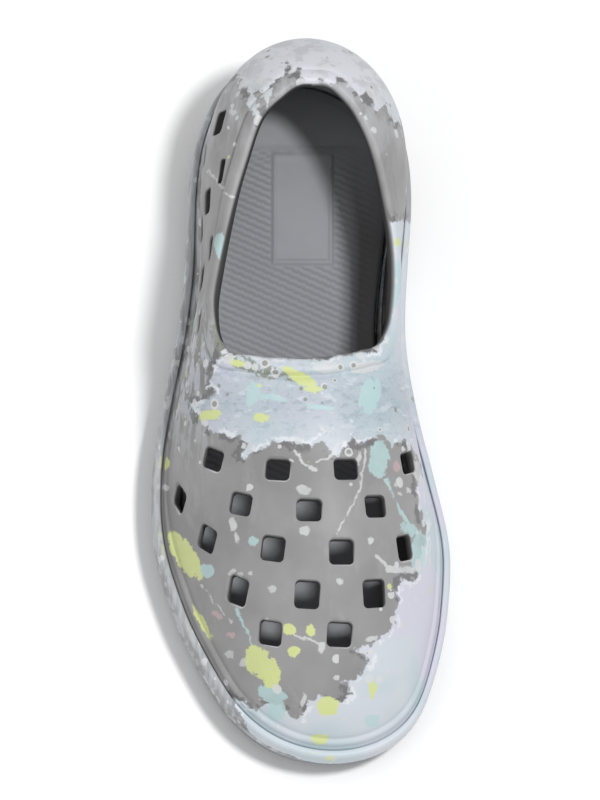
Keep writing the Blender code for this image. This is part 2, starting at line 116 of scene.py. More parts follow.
QUARTER_ROWS = (
    # side, along, holes, level, drop, high
    (-1, 0.275, 3, 0.77, 0.04, 3.4), (-1, 0.352, 3, 0.56, 0.06, 7.4), (-1, 0.33, 3, 0.24, 0.02, 7),
    (1, 0.175, 2, 0.64, 0, 3.4), (1, 0.25, 3, 0.42, 0, 7), (1, 0.33, 3, 0.17, 0, 6),
)
LUG_AT = (4.6, -44.8)
LUG_STEP_A = (-14.9, 6.9)
LUG_STEP_C = (-1.57, 16.5)
DIAMOND = 0.71
DIAMOND_PIT = 0.25
PIT_DEPTH = 1.2
LUG_ROUND = 1.3
# The soft edge of the lugs and of the tread's rim: how far the rubber spreads, height
SOFT_EDGE = ((-0.06, 0.14), (0.0, 0.36), (0.08, TREAD_DEPTH - 0.35), (0.18, TREAD_DEPTH - 0.12))
HEXAGON_FLAT = 10.6
HEXAGONS_FROM = -0.27 * LENGTH
HEXAGONS_TO = -0.015 * LENGTH

# Fine sizes of the looks

UPPER_COLUMNS = 400
WALL_ROWS = 66
INNER_ROWS = 26
SOLE_COLUMNS = 360
HOLE_ROUND = 1.3
MOUTH = 0.8
WALL_FROM = 5.2  # the wall's own rows start so far over the foot
WALL_TO = 7.2  # and end so far below the crest
CREST_LIFT = 0.66
CREST_DROP = 0.9
CREST_HIGH = 1.65
# The footbed: where its rows lie close, its ribs, and in the photograph's pixels its bare
# panel (left, right, back, front) and the step towards the heel
FINE_RIBS = (-36.0, 72.0)
RIB_SLOPE = math.radians(24.0)
RIB_PITCH = 2.45
RIB_HIGH = 0.19
FRAME_HIGH = 0.42
PANEL = (222.6, 244.2, 311.4, 352.6)
HEEL_STEP = 308.9
CUP_ROWS = (
    # in from the border, rise
    (0, 0.75), (0.25, 1.12), (0.8, 1.38), (1.6, 1.18), (4, 0.52), (6.5, 0.16), (9, 0.03), (12, 0),
)
# Lift of the outer face over the wall line, by distance up from the foot
FOOT_LIFT = (
    # up, lift
    (0, 1.3), (0.5, 1.24), (0.9, 0.98), (1.2, 0.84), (1.7, 0.82), (2.2, 0.74), (2.7, 0.52),
    (3, 0.22), (3.3, -0.08), (3.7, -0.2), (4.2, -0.12), (5, 0),
)
# Lift of the outer face by distance down from the crest of the collar
LIP_LIFT = (
    # down, lift
    (0.9, 0.66), (1.6, 0.74), (2.8, 0.72), (3.5, 0.55), (3.9, 0.22), (4.25, -0.28), (4.6, -0.58),
    (5.1, -0.42), (5.8, -0.1), (6.8, 0),
)

# Place of the photograph's view of this shoe: azimuth, elevation, roll, mm for a pixel and
# the pixel that the frame's origin falls on

VIEW_AZIMUTH = math.radians(-15.34)
VIEW_ELEVATION = math.radians(68.62)
VIEW_ROLL = math.radians(0.85)
PIXEL = 0.726
ORIGIN_PIXEL = (230.29, 415.53)
THROAT_ROW = 406


def smooth_rows(rows, column, at, period=None):
    """A smooth curve through one column of a table, at the values asked for."""
    place = np.array([row[0] for row in rows], float)
    value = np.array([row[column] for row in rows], float)
    at = np.asarray(at, float)
    if period:
        place = np.concatenate([place - period, place, place + period])
        value = np.tile(value, 3)
        at = np.mod(at, period)
    slope = np.gradient(value, place)
    if not period:
        slope[0] = (value[1] - value[0]) / (place[1] - place[0])
        slope[-1] = (value[-1] - value[-2]) / (place[-1] - place[-2])
    i = np.clip(np.searchsorted(place, at, side="right") - 1, 0, len(place) - 2)
    step = place[i + 1] - place[i]
    t = np.clip((at - place[i]) / step, 0, 1)
    return (
        (2 * t**3 - 3 * t**2 + 1) * value[i]
        + (t**3 - 2 * t**2 + t) * step * slope[i]
        + (3 * t**2 - 2 * t**3) * value[i + 1]
        + (t**3 - t**2) * step * slope[i + 1]
    )


def outline(turn, inset):
    """Plan of the sole at a turn (radians, 0 toe, pi heel, medial first), moved inwards."""
    share = (1 - np.cos(turn)) / 2
    half_width = smooth_rows(PLAN_ROWS, 1, share) * LENGTH
    middle = smooth_rows(PLAN_ROWS, 2, share) * LENGTH
    across = middle - MIDDLE_SHIFT + (half_width - inset) * np.sin(turn)
    along = -(HALF - inset) * np.cos(turn)
    return across, along


def share_of(along):
    return np.clip((np.asarray(along, float) + HALF) / LENGTH, 0, 1)


def bottom(along):
    """Height of the walking face: toe spring, flat forefoot, slight arch, heel and its bevel."""
    along = np.asarray(along, float)
    toe = np.clip((TOE_SPRING_FROM - along) / (TOE_SPRING_FROM + HALF), 0, None)
    heel = np.clip((along - HEEL_BEVEL_FROM) / (HALF - HEEL_BEVEL_FROM), 0, None)
    arch = np.clip((along - ARCH_FROM) / (ARCH_TO - ARCH_FROM), 0, 1)
    return (
        TOE_SPRING * toe**2
        + HEEL_BEVEL * heel**2
        + ARCH_RISE * (1 - np.cos(2 * math.pi * arch)) / 2
    )


def ledge(along):
    return smooth_rows(HEIGHT_ROWS, 1, share_of(along))


def well(along):
    return bottom(along) + smooth_rows(HEIGHT_ROWS, 2, share_of(along))


def turns(count):
    return np.arange(count) * 2 * math.pi / count


MIDDLE_SHIFT = 0.0
_across = outline(turns(720), 0.0)[0]
MIDDLE_SHIFT = float(_across.max() + _across.min()) / 2


def wall_line(turn, samples=240):
    """One line up the outside of the upper's wall, foot to collar crest, as fine points."""
    half_turns = turn / math.pi
    foot_x, foot_y = outline(turn, WALL_INSET)
    foot_z = ledge(foot_y) - SEAT_DROP + GAP
    across, along, crest_z = (smooth_rows(COLLAR_ROWS, k, half_turns, 2) for k in (1, 2, 3))
    crest_x, crest_y = across * LENGTH, along * LENGTH
    start, end, full = (float(smooth_rows(PROFILE_ROWS, k, half_turns, 2)) for k in (1, 2, 3))
    start, end = math.radians(start), math.radians(end)
    angle = np.linspace(start, end, samples)
    level = np.sign(np.sin(angle)) * np.abs(np.sin(angle)) ** (2 / full)
    inward = (math.cos(start) - np.cos(angle)) / (math.cos(start) - math.cos(end))
    upward = (level - level[0]) / (level[-1] - level[0])
    line = (
        foot_x + (crest_x - foot_x) * inward,
        foot_y + (crest_y - foot_y) * inward,
        foot_z + (crest_z - foot_z) * upward,
    )
    return np.stack(line, axis=-1)


def lengths_along(line):
    return np.concatenate([[0], np.cumsum(np.linalg.norm(np.diff(line, axis=0), axis=1))])


def points_at(line, distances):
    walked = lengths_along(line)
    return np.stack([np.interp(distances, walked, line[:, k]) for k in range(3)], axis=-1)


def normals_at(line, ahead, behind, shares):
    whole = lengths_along(line)[-1]
    up = points_at(line, np.minimum(shares + 0.004, 1) * whole)
    down = points_at(line, np.maximum(shares - 0.004, 0) * whole)
    right = points_at(ahead, shares * lengths_along(ahead)[-1])
    left = points_at(behind, shares * lengths_along(behind)[-1])
    normal = np.cross(right - left, up - down)
    return normal / np.linalg.norm(normal, axis=1, keepdims=True)


def wall_grid(columns, shares):
    """Points and outward normals of the wall on a grid of columns and shares of its height."""
    shares = np.asarray(shares, float)
    rows, normals = [], []
    for turn in turns(columns):
        line = wall_line(turn)
        rows.append(points_at(line, shares * lengths_along(line)[-1]))
        normals.append(normals_at(line, wall_line(turn + 1e-3), wall_line(turn - 1e-3), shares))
    return np.array(rows), np.array(normals)


def hole_places():
    """(centre, normal, direction along the row, half length, half height) of each hole."""
    shares = np.linspace(0, 1, 121)
    points, normals = wall_grid(240, shares)
    found = []
    vamp = points[:, :, 1] < 0.02 * LENGTH
    for along, holes, start, middle, sweep, slant, high in VAMP_ROWS:
        for k in range(int(holes)):
            offset = (start + k) * HOLE_PITCH
            fall = LATERAL_FALL if offset < 0 else MEDIAL_FALL
            # The pitch is walked along the surface, which falls away at the sides.
            reach = offset / (1 + (offset / fall) ** 2)
            back = sweep * reach**2 - slant * reach
            target = np.array([middle + reach, along * LENGTH + back])
            apart = np.linalg.norm(points[:, :, :2] - target, axis=2) + np.where(vamp, 0, 1e3)
            i, j = np.unravel_index(np.argmin(apart), apart.shape)
            row_way = np.array([1.0, HOLE_TURN * 2 * sweep * reach - SLANT_TURN * slant, 0.0])
            centre = np.array([target[0], target[1], points[i, j][2]])
            found.append((centre, normals[i, j], row_way, HOLE / 2, high / 2))
    for side, along, holes, first_level, drop, high in QUARTER_ROWS:
        for k in range(int(holes)):
            y = along * LENGTH - k * QUARTER_PITCH
            level = first_level - k * drop
            column = points[:, int(level * 120), :]
            right_side = np.where(np.sign(column[:, 0] - 1.0) == side, 0, 1e3)
            i = int(np.argmin(np.abs(column[:, 1] - y) + right_side))
            j = int(level * 120)
            ahead = points[(i + 1) % 240, j] - points[i - 1, j]
            found.append((points[i, j], normals[i, j], ahead, HOLE / 2, high / 2))
    return found


# Mesh helpers

def ring_faces(rings, count, closed=False, first=0):
    faces = []
    for ring in range(rings if closed else rings - 1):
        low = first + ring * count
        high = first + ((ring + 1) % rings) * count
        for i in range(count):
            j = (i + 1) % count
            faces.append((low + i, low + j, high + j, high + i))
    return faces


def across_faces(first, count):
    faces = [(first, first + 1, first + count - 1)]
    half = count // 2
    for i in range(1, half - 1):
        faces.append((first + i, first + i + 1, first + count - i - 1, first + count - i))
    faces.append((first + half - 1, first + half, first + half + 1))
    return faces


def bar_faces(rings, count):
    """Faces of a stack of rings with one face over each end."""
    last = (rings - 1) * count
    return ring_faces(rings, count) + [tuple(range(count)), tuple(range(last, last + count))]


def slab_faces(rings, count):
    """Faces of a stack of rings with strips over each end."""
    ends = across_faces(0, count) + across_faces((rings - 1) * count, count)
    return ring_faces(rings, count) + ends


def linked(name, data):
    obj = bpy.data.objects.new(name, data)
    bpy.context.scene.collection.objects.link(obj)
    return obj


def new_object(name, points, faces):
    mesh = bpy.data.meshes.new(name)
    mesh.from_pydata((np.asarray(points, float) * MM).tolist(), [], faces)
    work = bmesh.new()
    work.from_mesh(mesh)
    bmesh.ops.recalc_face_normals(work, faces=work.faces)
    work.to_mesh(mesh)
    work.free()
    return linked(name, mesh)


def joined(name, solids):
    points, faces = [], []
    for more_points, more_faces in solids:
        base = len(points)
        points += [tuple(point) for point in more_points]
        faces += [tuple(base + i for i in face) for face in more_faces]
    return new_object(name, points, faces)


def apply(obj, kind, **settings):
    """Makes a modifier's result the object's own mesh."""
    modifier = obj.modifiers.new(kind.lower(), kind)
    for key, value in settings.items():
        setattr(modifier, key, value)
    bpy.context.view_layer.update()
    graph = bpy.context.evaluated_depsgraph_get()
    mesh = bpy.data.meshes.new_from_object(obj.evaluated_get(graph))
    obj.modifiers.clear()
    obj.data = mesh


def carve(obj, cutter):
    """Takes the cutter from the object for good, and removes the cutter."""
    apply(obj, "BOOLEAN", operation="DIFFERENCE", object=cutter, solver="EXACT")
    bpy.data.objects.remove(cutter, do_unlink=True)


def finish_shading(obj, angle=38.0):
    """Smooth faces with sharp edges over the angle, and normals that follow the big faces."""
    mesh = obj.data
    mesh.materials.clear()
    work = bmesh.new()
    work.from_mesh(mesh)
    for face in work.faces:
        face.smooth = True
    sharp = math.radians(angle)
    for edge in work.edges:
        edge.smooth = not (len(edge.link_faces) == 2 and edge.calc_face_angle(0) > sharp)
    work.to_mesh(mesh)
    work.free()
    apply(obj, "WEIGHTED_NORMAL", keep_sharp=True, weight=60)


def points_of(obj):
    data = np.empty(len(obj.data.vertices) * 3, np.float32)
    obj.data.vertices.foreach_get("co", data)
    return data.reshape(-1, 3).astype(float) / MM


def keep_attribute(obj, name, values):
    values = np.asarray(values, np.float32)
    kind = "FLOAT" if values.ndim == 1 else "FLOAT_VECTOR"
    layer = obj.data.attributes.new(name, kind, "POINT")
    layer.data.foreach_set("value" if values.ndim == 1 else "vector", values.reshape(-1))


# The photograph's view

_level = math.cos(VIEW_ELEVATION)
TOWARD = np.array(
    [math.sin(VIEW_AZIMUTH) * _level, -math.cos(VIEW_AZIMUTH) * _level, math.sin(VIEW_ELEVATION)]
)
_up = np.array([0.0, 1.0, 0.0]) - TOWARD[1] * TOWARD
_up /= np.linalg.norm(_up)
_right = np.cross(_up, TOWARD)
RIGHT = _right * math.cos(VIEW_ROLL) - _up * math.sin(VIEW_ROLL)
UP = _right * math.sin(VIEW_ROLL) + _up * math.cos(VIEW_ROLL)


def seen_at(points):
    """Photograph pixels of points in millimetres."""
    x = ORIGIN_PIXEL[0] + points @ RIGHT / PIXEL
    return np.stack([x, ORIGIN_PIXEL[1] - points @ UP / PIXEL], axis=-1)


def under_pixel(x, y, height):
    """The point at a height (mm) that the photograph shows at a pixel."""
    flat = RIGHT * (x - ORIGIN_PIXEL[0]) * PIXEL - UP * (y - ORIGIN_PIXEL[1]) * PIXEL
    return flat + TOWARD * (height - flat[2]) / TOWARD[2]


def print_places(points, normals):
    """Where the print falls on columns of points that run from the top down and out, in pixels.

    Seen faces take the photograph's own pixels. From where a face turns away the print goes on
    outwards at its own scale, as if the wall were laid flat. Also how hidden each point is.
    """
    pixels = seen_at(points)
    hidden = np.zeros(points.shape[:2])
    for i in range(points.shape[0]):
        facing = normals[i] @ TOWARD
        away = np.nonzero(facing < 0.10)[0]
        if not len(away):
            continue
        first = max(int(away[0]), 1)
        out = np.array([normals[i, first] @ RIGHT, -(normals[i, first] @ UP)])
        out /= np.linalg.norm(out) + 1e-9
        walked = lengths_along(points[i, first - 1:])[1:] / PIXEL
        pixels[i, first:] = pixels[i, first - 1] + out * walked[:, None]
        hidden[i, first:] = np.clip(walked / 4.0, 0, 1)
    return pixels, hidden


def nearest_rows(grid, values, places):
    """For each place the nearest grid point, and the values mixed from the nearest four."""
    flat = grid.reshape(-1, 3)
    tree = KDTree(len(flat))
    for i, point in enumerate(flat):
        tree.insert(point, i)
    tree.balance()
    found = np.empty((len(places), 4), int)
    apart = np.empty((len(places), 4))
    for i, place in enumerate(places):
        for k, (_co, index, distance) in enumerate(tree.find_n(place, 4)):
            found[i, k] = index
            apart[i, k] = distance
    weight = 1 / (apart + 1e-4) ** 2
    weight /= weight.sum(axis=1, keepdims=True)
    mixed = [(v.reshape(len(flat), -1)[found] * weight[:, :, None]).sum(axis=1) for v in values]
    return found[:, 0], mixed


def inside_distance(pixels, corners):
    """Distance in pixels to a closed polygon, positive inside."""
    corners = np.asarray(corners, float)
    best = np.full(len(pixels), 1e9)
    inside = np.zeros(len(pixels), bool)
    for a, b in zip(corners, np.roll(corners, -1, axis=0)):
        side = b - a
        t = np.clip(((pixels - a) @ side) / (side @ side + 1e-12), 0, 1)
        best = np.minimum(best, np.linalg.norm(pixels - a - t[:, None] * side, axis=1))
        over = (a[1] > pixels[:, 1]) != (b[1] > pixels[:, 1])
        cross = (b[0] - a[0]) * (pixels[:, 1] - a[1]) / (b[1] - a[1] + 1e-12) + a[0]
        inside ^= over & (pixels[:, 0] < cross)
    return np.where(inside, best, -best)


# The print: pale paint lies in two large fields, and the splashes are rows of ovals and strokes.

PALE_FRONT = (
    (262, 334), (268, 338), (300, 330), (335, 420), (330, 600), (150, 600), (170, 560), (190, 532),
    (200, 515.5), (207, 518.5), (213, 521), (216, 523), (218.5, 521), (222, 520.5), (226, 521.5),
    (229, 525), (232, 526), (234.5, 522), (236, 519.5), (241, 517.5), (246, 519), (250, 519),
    (251, 515), (248, 512.5), (252, 510.5), (255, 509), (259, 504), (257, 501.5), (253, 500),
    (256, 498.5), (261, 497.5), (264, 494.5), (268, 490), (269, 483), (268.5, 478), (270.5, 474),
    (275, 474.5), (277.5, 469), (279, 462), (280.5, 455), (277.5, 447), (276, 440), (279, 432),
    (275.5, 425), (271.5, 421), (267, 424), (263.5, 419), (259, 420), (256, 423.5), (252, 420.5),
    (249.5, 424), (246, 427), (243, 424), (240.5, 420.5), (237, 423.5), (232, 423), (227, 421.5),
    (222, 422.5), (217, 424.5), (214, 425.5), (211, 428), (209.5, 426.5), (213, 422), (209, 420),
    (204, 419.5), (199, 417), (194, 413.5), (190.5, 407), (197, 406), (201, 404.5), (198, 401),
    (199, 396), (201, 391), (204, 386), (216, 389), (240, 391), (261, 387), (266, 378), (266, 350),
)
PALE_HEEL = (
    (150, 200), (320, 200), (300, 262), (282, 292), (268, 300), (265, 292), (262, 296), (258, 288),
    (256, 291), (251, 286), (248, 283), (245, 286), (241, 284), (237, 287), (234, 286), (232, 280),
    (229, 283), (227.5, 275), (226, 283), (221.5, 286), (220, 295), (218, 287), (215, 289),
    (217, 297), (216.5, 301), (214, 296), (211, 285), (208, 281), (203, 283), (199, 276),
    (196, 283), (180, 262),
)
# Ovals: place, half sizes in pixels, turn in degrees
YELLOW = (
    (188.8, 465.3, 10.8, 4.1, 57), (195.5, 490.5, 6.9, 1.3, 58), (218.3, 505.6, 8.6, 5, 47),
    (221.5, 511, 4, 3, 70), (243.3, 521.3, 4.1, 3.8, 0), (228.3, 492, 2.6, 2.2, 20),
    (236.4, 492.4, 1.9, 2.2, 0), (229.8, 500.6, 2.2, 1.9, 0), (240.2, 533.8, 3.4, 2.2, 0),
    (232.5, 397.5, 7.5, 2.3, 28), (237.5, 402, 3.6, 1.1, 0), (181.4, 430.3, 1.7, 2.4, 0),
    (198.5, 411.8, 4.6, 2, -12), (217.8, 412.8, 2.4, 1.8, 0), (259.8, 515, 1.3, 3.6, 0),
    (268, 534.5, 3.2, 1.4, -38), (269.4, 346, 1.5, 1.8, 0), (209, 392, 3.5, 1.1, 15),
)
AQUA = (
    (197.2, 470.3, 3, 2.6, 30), (222.2, 516.8, 6, 3.2, 20), (223.5, 523, 3.2, 4.6, 10),
    (262.3, 428.5, 3.9, 7.2, 8), (277.4, 463.5, 3.1, 8.4, 6), (273.5, 455, 3.6, 2.4, 35),
    (214.8, 459, 1.7, 1.9, 0), (222, 405, 5.5, 1.2, 8), (239, 408.5, 6, 1, 5),
    (214.5, 403.5, 3, 5, 10), (259, 404, 4.2, 7, 12), (240, 392.5, 2, 1, 0),
    (259.8, 527, 3.4, 2.6, 0), (268.8, 362, 2.2, 9, 3), (202.5, 348, 2.3, 5.5, -5),
)
WHITE = (
    (234, 439.8, 2.7, 1.7, 5), (234, 454.8, 2.2, 1.9, 0), (207, 453, 1.6, 3.2, -6),
    (208.4, 458.2, 0.8, 2.2, -12), (207, 471, 1.2, 1.1, 0), (210, 472.4, 0.8, 0.9, 0),
    (214, 471.2, 1, 1, 0), (222.2, 476.8, 1.5, 1.3, 0), (247.3, 474.2, 1.3, 1.4, 0),
    (258.8, 458.8, 1.3, 1.2, 0), (205.8, 502.2, 1.6, 1.5, 0), (211, 504.6, 1.8, 1.7, 0),
    (240.8, 498.6, 1.4, 2.3, 0), (246.2, 510.4, 1.1, 0.9, 0), (181, 439.5, 1.5, 1.1, 0),
    (184.8, 403, 1.1, 1, 0), (206.5, 296, 1.6, 1, 30), (254, 429, 1, 3.5, 8),
    (276.5, 433, 2.2, 4.6, -18), (268.8, 437, 1.4, 1.2, 0), (258, 393.5, 6.5, 2.4, -12),
    (270.4, 441.1, 0.8, 0.8, 0), (273.6, 440.4, 0.8, 0.9, 0), (243, 393.6, 6, 2.2, 0),
    (259, 495.5, 2, 0.9, -20), (233.4, 519, 1, 2.6, 10),
)
# Strokes: two ends and half width in pixels
WHITE_STROKES = (
    (257, 424, 256.4, 433, 0.55), (256.4, 433, 254, 442, 0.55), (254, 442, 246.2, 456, 0.5),
    (230.5, 425, 233, 430, 0.6), (233, 430, 238.5, 432.6, 0.65), (238.2, 429.5, 243.5, 428, 0.6),
    (243.5, 428, 247.6, 422.5, 0.6), (261.5, 464.6, 265.5, 469.4, 0.8),
    (265.5, 469.4, 275.5, 470.4, 1.5), (219.2, 488.8, 223, 491.2, 0.9),
    (223, 491.2, 226.5, 491.6, 0.6), (230, 494, 241, 497.8, 0.65), (195, 476, 207, 490.5, 0.3),
    (197, 318, 203.2, 325.5, 0.5), (203.2, 327, 209.2, 329.2, 0.6),
)
AQUA_STROKES = (
    (264.5, 436, 269.5, 446, 0.7), (269.5, 446, 273, 453, 0.9), (208.5, 484.5, 214.6, 499, 0.6),
)
MOSS = (
    (203.5, 386.5, 6, 2.5, 52), (211, 392, 6.5, 2.8, 26), (220, 395.6, 6.5, 2.7, 12),
    (229, 397, 5, 2, 6), (200, 379.5, 5, 1.8, 70),
)
PINK = ((206.0, 494.6, 1.4, 1.1, 0), (268.8, 431.0, 1.2, 2.2, 0), (201.0, 487.0, 2.2, 1.0, 40))


# Materials

class Nodes:
    """Short names for the nodes of one material."""

    def __init__(self, name):
        self.material = bpy.data.materials.new(name)
        self.material.use_nodes = True
        self.tree = self.material.node_tree
        self.shader = self.tree.nodes["Principled BSDF"]

    def put(self, socket, value):
        if isinstance(value, bpy.types.NodeSocket):
            self.tree.links.new(value, socket)
        else:
            socket.default_value = value

    def node(self, kind, inputs=None, **settings):
        node = self.tree.nodes.new("ShaderNode" + kind)
        for key, value in settings.items():
            setattr(node, key, value)
        for socket, value in (inputs or {}).items():
            self.put(node.inputs[socket], value)
        return node

    def math(self, operation, a, b=0.0, c=0.0, clamp=False):
        inputs = {0: a, 1: b, 2: c}
        return self.node("Math", inputs, operation=operation, use_clamp=clamp).outputs[0]

    def times(self, product, *factors):
        for factor in factors:
            product = self.math("MULTIPLY", product, factor)
        return product

    def times_plus(self, value, factor, plus, clamp=False):
        return self.math("MULTIPLY_ADD", value, factor, plus, clamp)

    def one_less(self, value):
        return self.math("SUBTRACT", 1.0, value)

    def vector(self, operation, a, b=(0, 0, 0)):
        node = self.node("VectorMath", {0: a, 1: b}, operation=operation)
        return node.outputs["Value" if operation in ("LENGTH", "DOT_PRODUCT") else "Vector"]

    def scaled(self, vector, scale):
        return self.node("VectorMath", {0: vector, 3: scale}, operation="SCALE").outputs["Vector"]

    def attribute(self, name, output="Fac"):
        return self.node("Attribute", attribute_name=name).outputs[output]

    def place(self):
        return self.node("TexCoord").outputs["Object"]

    def noise(self, at, scale, detail=2.0, rough=0.5, output="Fac"):
        inputs = {"Vector": at, "Scale": scale, "Detail": detail, "Roughness": rough}
        return self.node("TexNoise", inputs).outputs[output]

    def cells(self, at, scale):
        node = self.node("TexVoronoi", {"Vector": at, "Scale": scale})
        return node.outputs["Distance"], node.outputs["Color"]

    def step(self, value, low, high):
        inputs = {"Value": value, "From Min": low, "From Max": high}
        return self.node("MapRange", inputs, interpolation_type="SMOOTHSTEP").outputs["Result"]

    def mix(self, share, a, b):
        return self.node("Mix", {"Factor": share, 6: a, 7: b}, data_type="RGBA").outputs[2]

    def over(self, below, color, *shares):
        """A colour laid over another by the product of the shares."""
        return self.mix(self.times(*shares), below, color)

    def bump(self, height, distance, strength=1.0, below=None):
        inputs = {"Strength": strength, "Distance": distance, "Height": height}
        if below is not None:
            inputs["Normal"] = below
        return self.node("Bump", inputs).outputs["Normal"]

    def framed(self, at, x, y, turn, size=(1, 1)):
        """Places seen from a shape's middle, along its length and in its own sizes."""
        inputs = {"Vector": at, "Location": (x, y, 0), "Rotation": (0, 0, turn)}
        inputs["Scale"] = (*size, 1)
        return self.node("Mapping", inputs, vector_type="TEXTURE").outputs["Vector"]

    def oval(self, at, x, y, long, short, turn):
        length = self.vector("LENGTH", self.framed(at, x, y, math.radians(turn), (long, short)))
        return self.times_plus(length, min(long, short), -min(long, short))

    def stroke(self, at, x0, y0, x1, y1, wide):
        near = self.framed(at, (x0 + x1) / 2, (y0 + y1) / 2, math.atan2(y1 - y0, x1 - x0))
        near = self.vector("ABSOLUTE", near)
        near = self.vector("SUBTRACT", near, (math.hypot(x1 - x0, y1 - y0) / 2, 0, 0))
        near = self.vector("MAXIMUM", near, (0, 0, 0))
        return self.math("SUBTRACT", self.vector("LENGTH", near), wide * 0.8)

    def nearest(self, at, ovals, strokes, band):
        """Least distance to those of the shapes that reach into a band of the photograph's rows."""
        spans = [(self.oval, row, row[1], row[1], max(row[2:4])) for row in ovals]
        spans += [(self.stroke, row, min(row[1::2]), max(row[1::2]), 2) for row in strokes]
        best = None
        for shape, row, low, high, reach in spans:
            if high + reach >= band[0] - 6 and low - reach <= band[1] + 6:
                distance = shape(at, *row)
                best = distance if best is None else self.math("MINIMUM", best, distance)
        return best


def srgb(red, green, blue):
    """A colour as the eye reads it (0 to 255) in the shader's own numbers."""
    def part(value):
        value /= 255
        return value / 12.92 if value <= 0.04045 else ((value + 0.055) / 1.055) ** 2.4
    return (part(red), part(green), part(blue), 1.0)


FOAM = srgb(151, 150, 150)
FOAM_DEEP = srgb(137, 136, 136)
FOAM_SMOKE = srgb(172, 170, 172)
FOAM_HAZE_AND_LIGHT = srgb(190, 192, 197)
FOAM_DUSKY = srgb(118, 119, 116)
FOAM_PAINTED_HIGHLIGHT = srgb(205, 205, 206)
CUT_FOAM = srgb(146, 145, 145)
CUT_FOAM_DEEP = srgb(134, 133, 133)
SHADED_FOAM = srgb(62, 61, 62)
SHADED_FOAM_DEEP = srgb(54, 53, 54)
PALE = srgb(201, 207, 214)
PALE_LILAC = srgb(203, 203, 216)
PALE_AQUA = srgb(189, 203, 209)
PALE_THIN = srgb(215, 217, 221)
PALE_THREAD = srgb(224, 226, 230)
THROAT_PAINT = srgb(166, 176, 184)
THROAT_BRUSHED = srgb(158, 176, 190)
THROAT_SWEPT = srgb(150, 162, 168)
THROAT_LIT = srgb(222, 226, 232)
YELLOW_PAINT = srgb(206, 214, 146)
AQUA_PAINT = srgb(178, 206, 207)
WHITE_PAINT = srgb(208, 209, 210)
DARK_PAINT = srgb(106, 106, 108)
PINK_PAINT = srgb(188, 162, 166)
MOSS_PAINT = srgb(137, 142, 130)
SPECK_PAINT = srgb(134, 138, 132)
FOOTBED_RIM_SHADE = srgb(94, 94, 96)


def foam_grain(make, at, coarse=0.00006):
    """Fine skin of moulded foam: grain, and slow waves of the moulding."""
    waves = make.noise(at, 55.0, 2.0, 0.5)
    grain = make.noise(at, 1500.0, 3.0, 0.6)
    first = make.bump(waves, 0.0012, 0.35)
    return make.bump(grain, coarse, 0.55, first), grain


# Rows of the photograph that one copy of the print material covers. Each copy holds only the
# shapes of its own band, because all of them together are too many for one shader.
BANDS = (-1e6, 385.0, 414.0, 438.0, 462.0, 487.0, 510.0, 1e6)


def foam_ground(make, at, slow):
    """Bare foam: slow patches, smoke, and a pale haze round the heel, partly mottled print and
    partly painted light that lightens the heel as if lit from behind.
    """
    foam = make.mix(make.step(slow, 0.35, 0.68), FOAM, FOAM_DEEP)
    smoke = make.noise(make.vector("MULTIPLY", at, (1.0, 0.45, 1.0)), 150.0, 4.0, 0.65)
    foam = make.over(foam, FOAM_SMOKE, make.step(smoke, 0.52, 0.70), 0.28)
    hazy_and_lit = make.attribute("hazy_and_lit")
    return make.over(foam, FOAM_HAZE_AND_LIGHT, make.step(smoke, 0.36, 0.62), hazy_and_lit, 0.62)


def pale_paint(make, at, pixels, shift):
    """The pale paint: slow tints, and brush marks across the throat."""
    read = make.attribute
    paint = make.mix(make.step(make.noise(at, 46.0), 0.42, 0.62), PALE, PALE_AQUA)
    tint = make.noise(make.vector("ADD", at, (0.3, 0.1, 0.2)), 40.0)
    paint = make.mix(make.step(tint, 0.48, 0.64), paint, PALE_LILAC)
    paint = make.over(paint, PALE_THIN, read("thin"), 0.7)
    paint = make.over(paint, THROAT_PAINT, read("throat"), 0.62)
    brush_at = make.vector("MULTIPLY", pixels, (0.13, 0.27, 1.0))
    for moved, grain, low, high, region, color, strength in (
        (shift, (1.0, 3.0, 0.62), 0.52, 0.60, "brushed", THROAT_BRUSHED, 0.55),
        ((3.0, 11.0, 0.0), (1.6, 4.0, 0.66), 0.55, 0.60, "throat", THROAT_SWEPT, 0.55),
        ((7.0, 3.0, 0.0), (1.0, 3.0, 0.62), 0.57, 0.63, "brushed", THROAT_LIT, 0.35),
    ):
        marks = make.noise(make.vector("ADD", brush_at, moved), *grain)
        paint = make.over(paint, color, make.step(marks, low, high), read(region), strength)
    return paint


def covered(make, at, field, foam, paint):
    """How far the paint covers the foam, with wisps and streaks down the sides, and the two."""
    read = make.attribute
    streaks = make.noise(make.vector("MULTIPLY", at, (900.0, 120.0, 120.0)), 1.0, 3.0, 0.6)
    wisps = make.noise(make.vector("MULTIPLY", at, (1.0, 1.0, 0.35)), 120.0, 4.0, 0.7)
    wisps = make.times(make.step(wisps, 0.47, 0.56), read("thin"))
    cover = make.times(make.step(field, -0.35, 0.35), make.times_plus(wisps, -0.36, 1.0))
    sides = make.times(make.step(streaks, 0.46, 0.54), read("streaked"), 0.7)
    cover = make.math("MAXIMUM", cover, sides)
    foam = make.over(foam, FOAM_DUSKY, make.step(streaks, 0.47, 0.40), read("streaked"), 0.6)
    return cover, make.mix(cover, foam, paint)


def edged(make, at, field, color):
    """Dark rims and specks along the pale paint's ragged edge, whiter threads just inside it."""
    def beside_edge(outwards, near, far):
        apart = make.math("ABSOLUTE", make.math("ADD", field, outwards))
        return make.one_less(make.step(apart, near, far))

    broken = make.step(make.noise(at, 160.0, 3.0, 0.6), 0.49, 0.55)
    color = make.over(color, DARK_PAINT, beside_edge(1.0, 0.7, 1.9), broken, 0.8)
    threads = make.times_plus(make.attribute("thin"), -0.6, 0.7)
    threads = make.times(beside_edge(-1.3, 0.4, 1.2), threads)
    return make.over(color, PALE_THREAD, threads, broken)


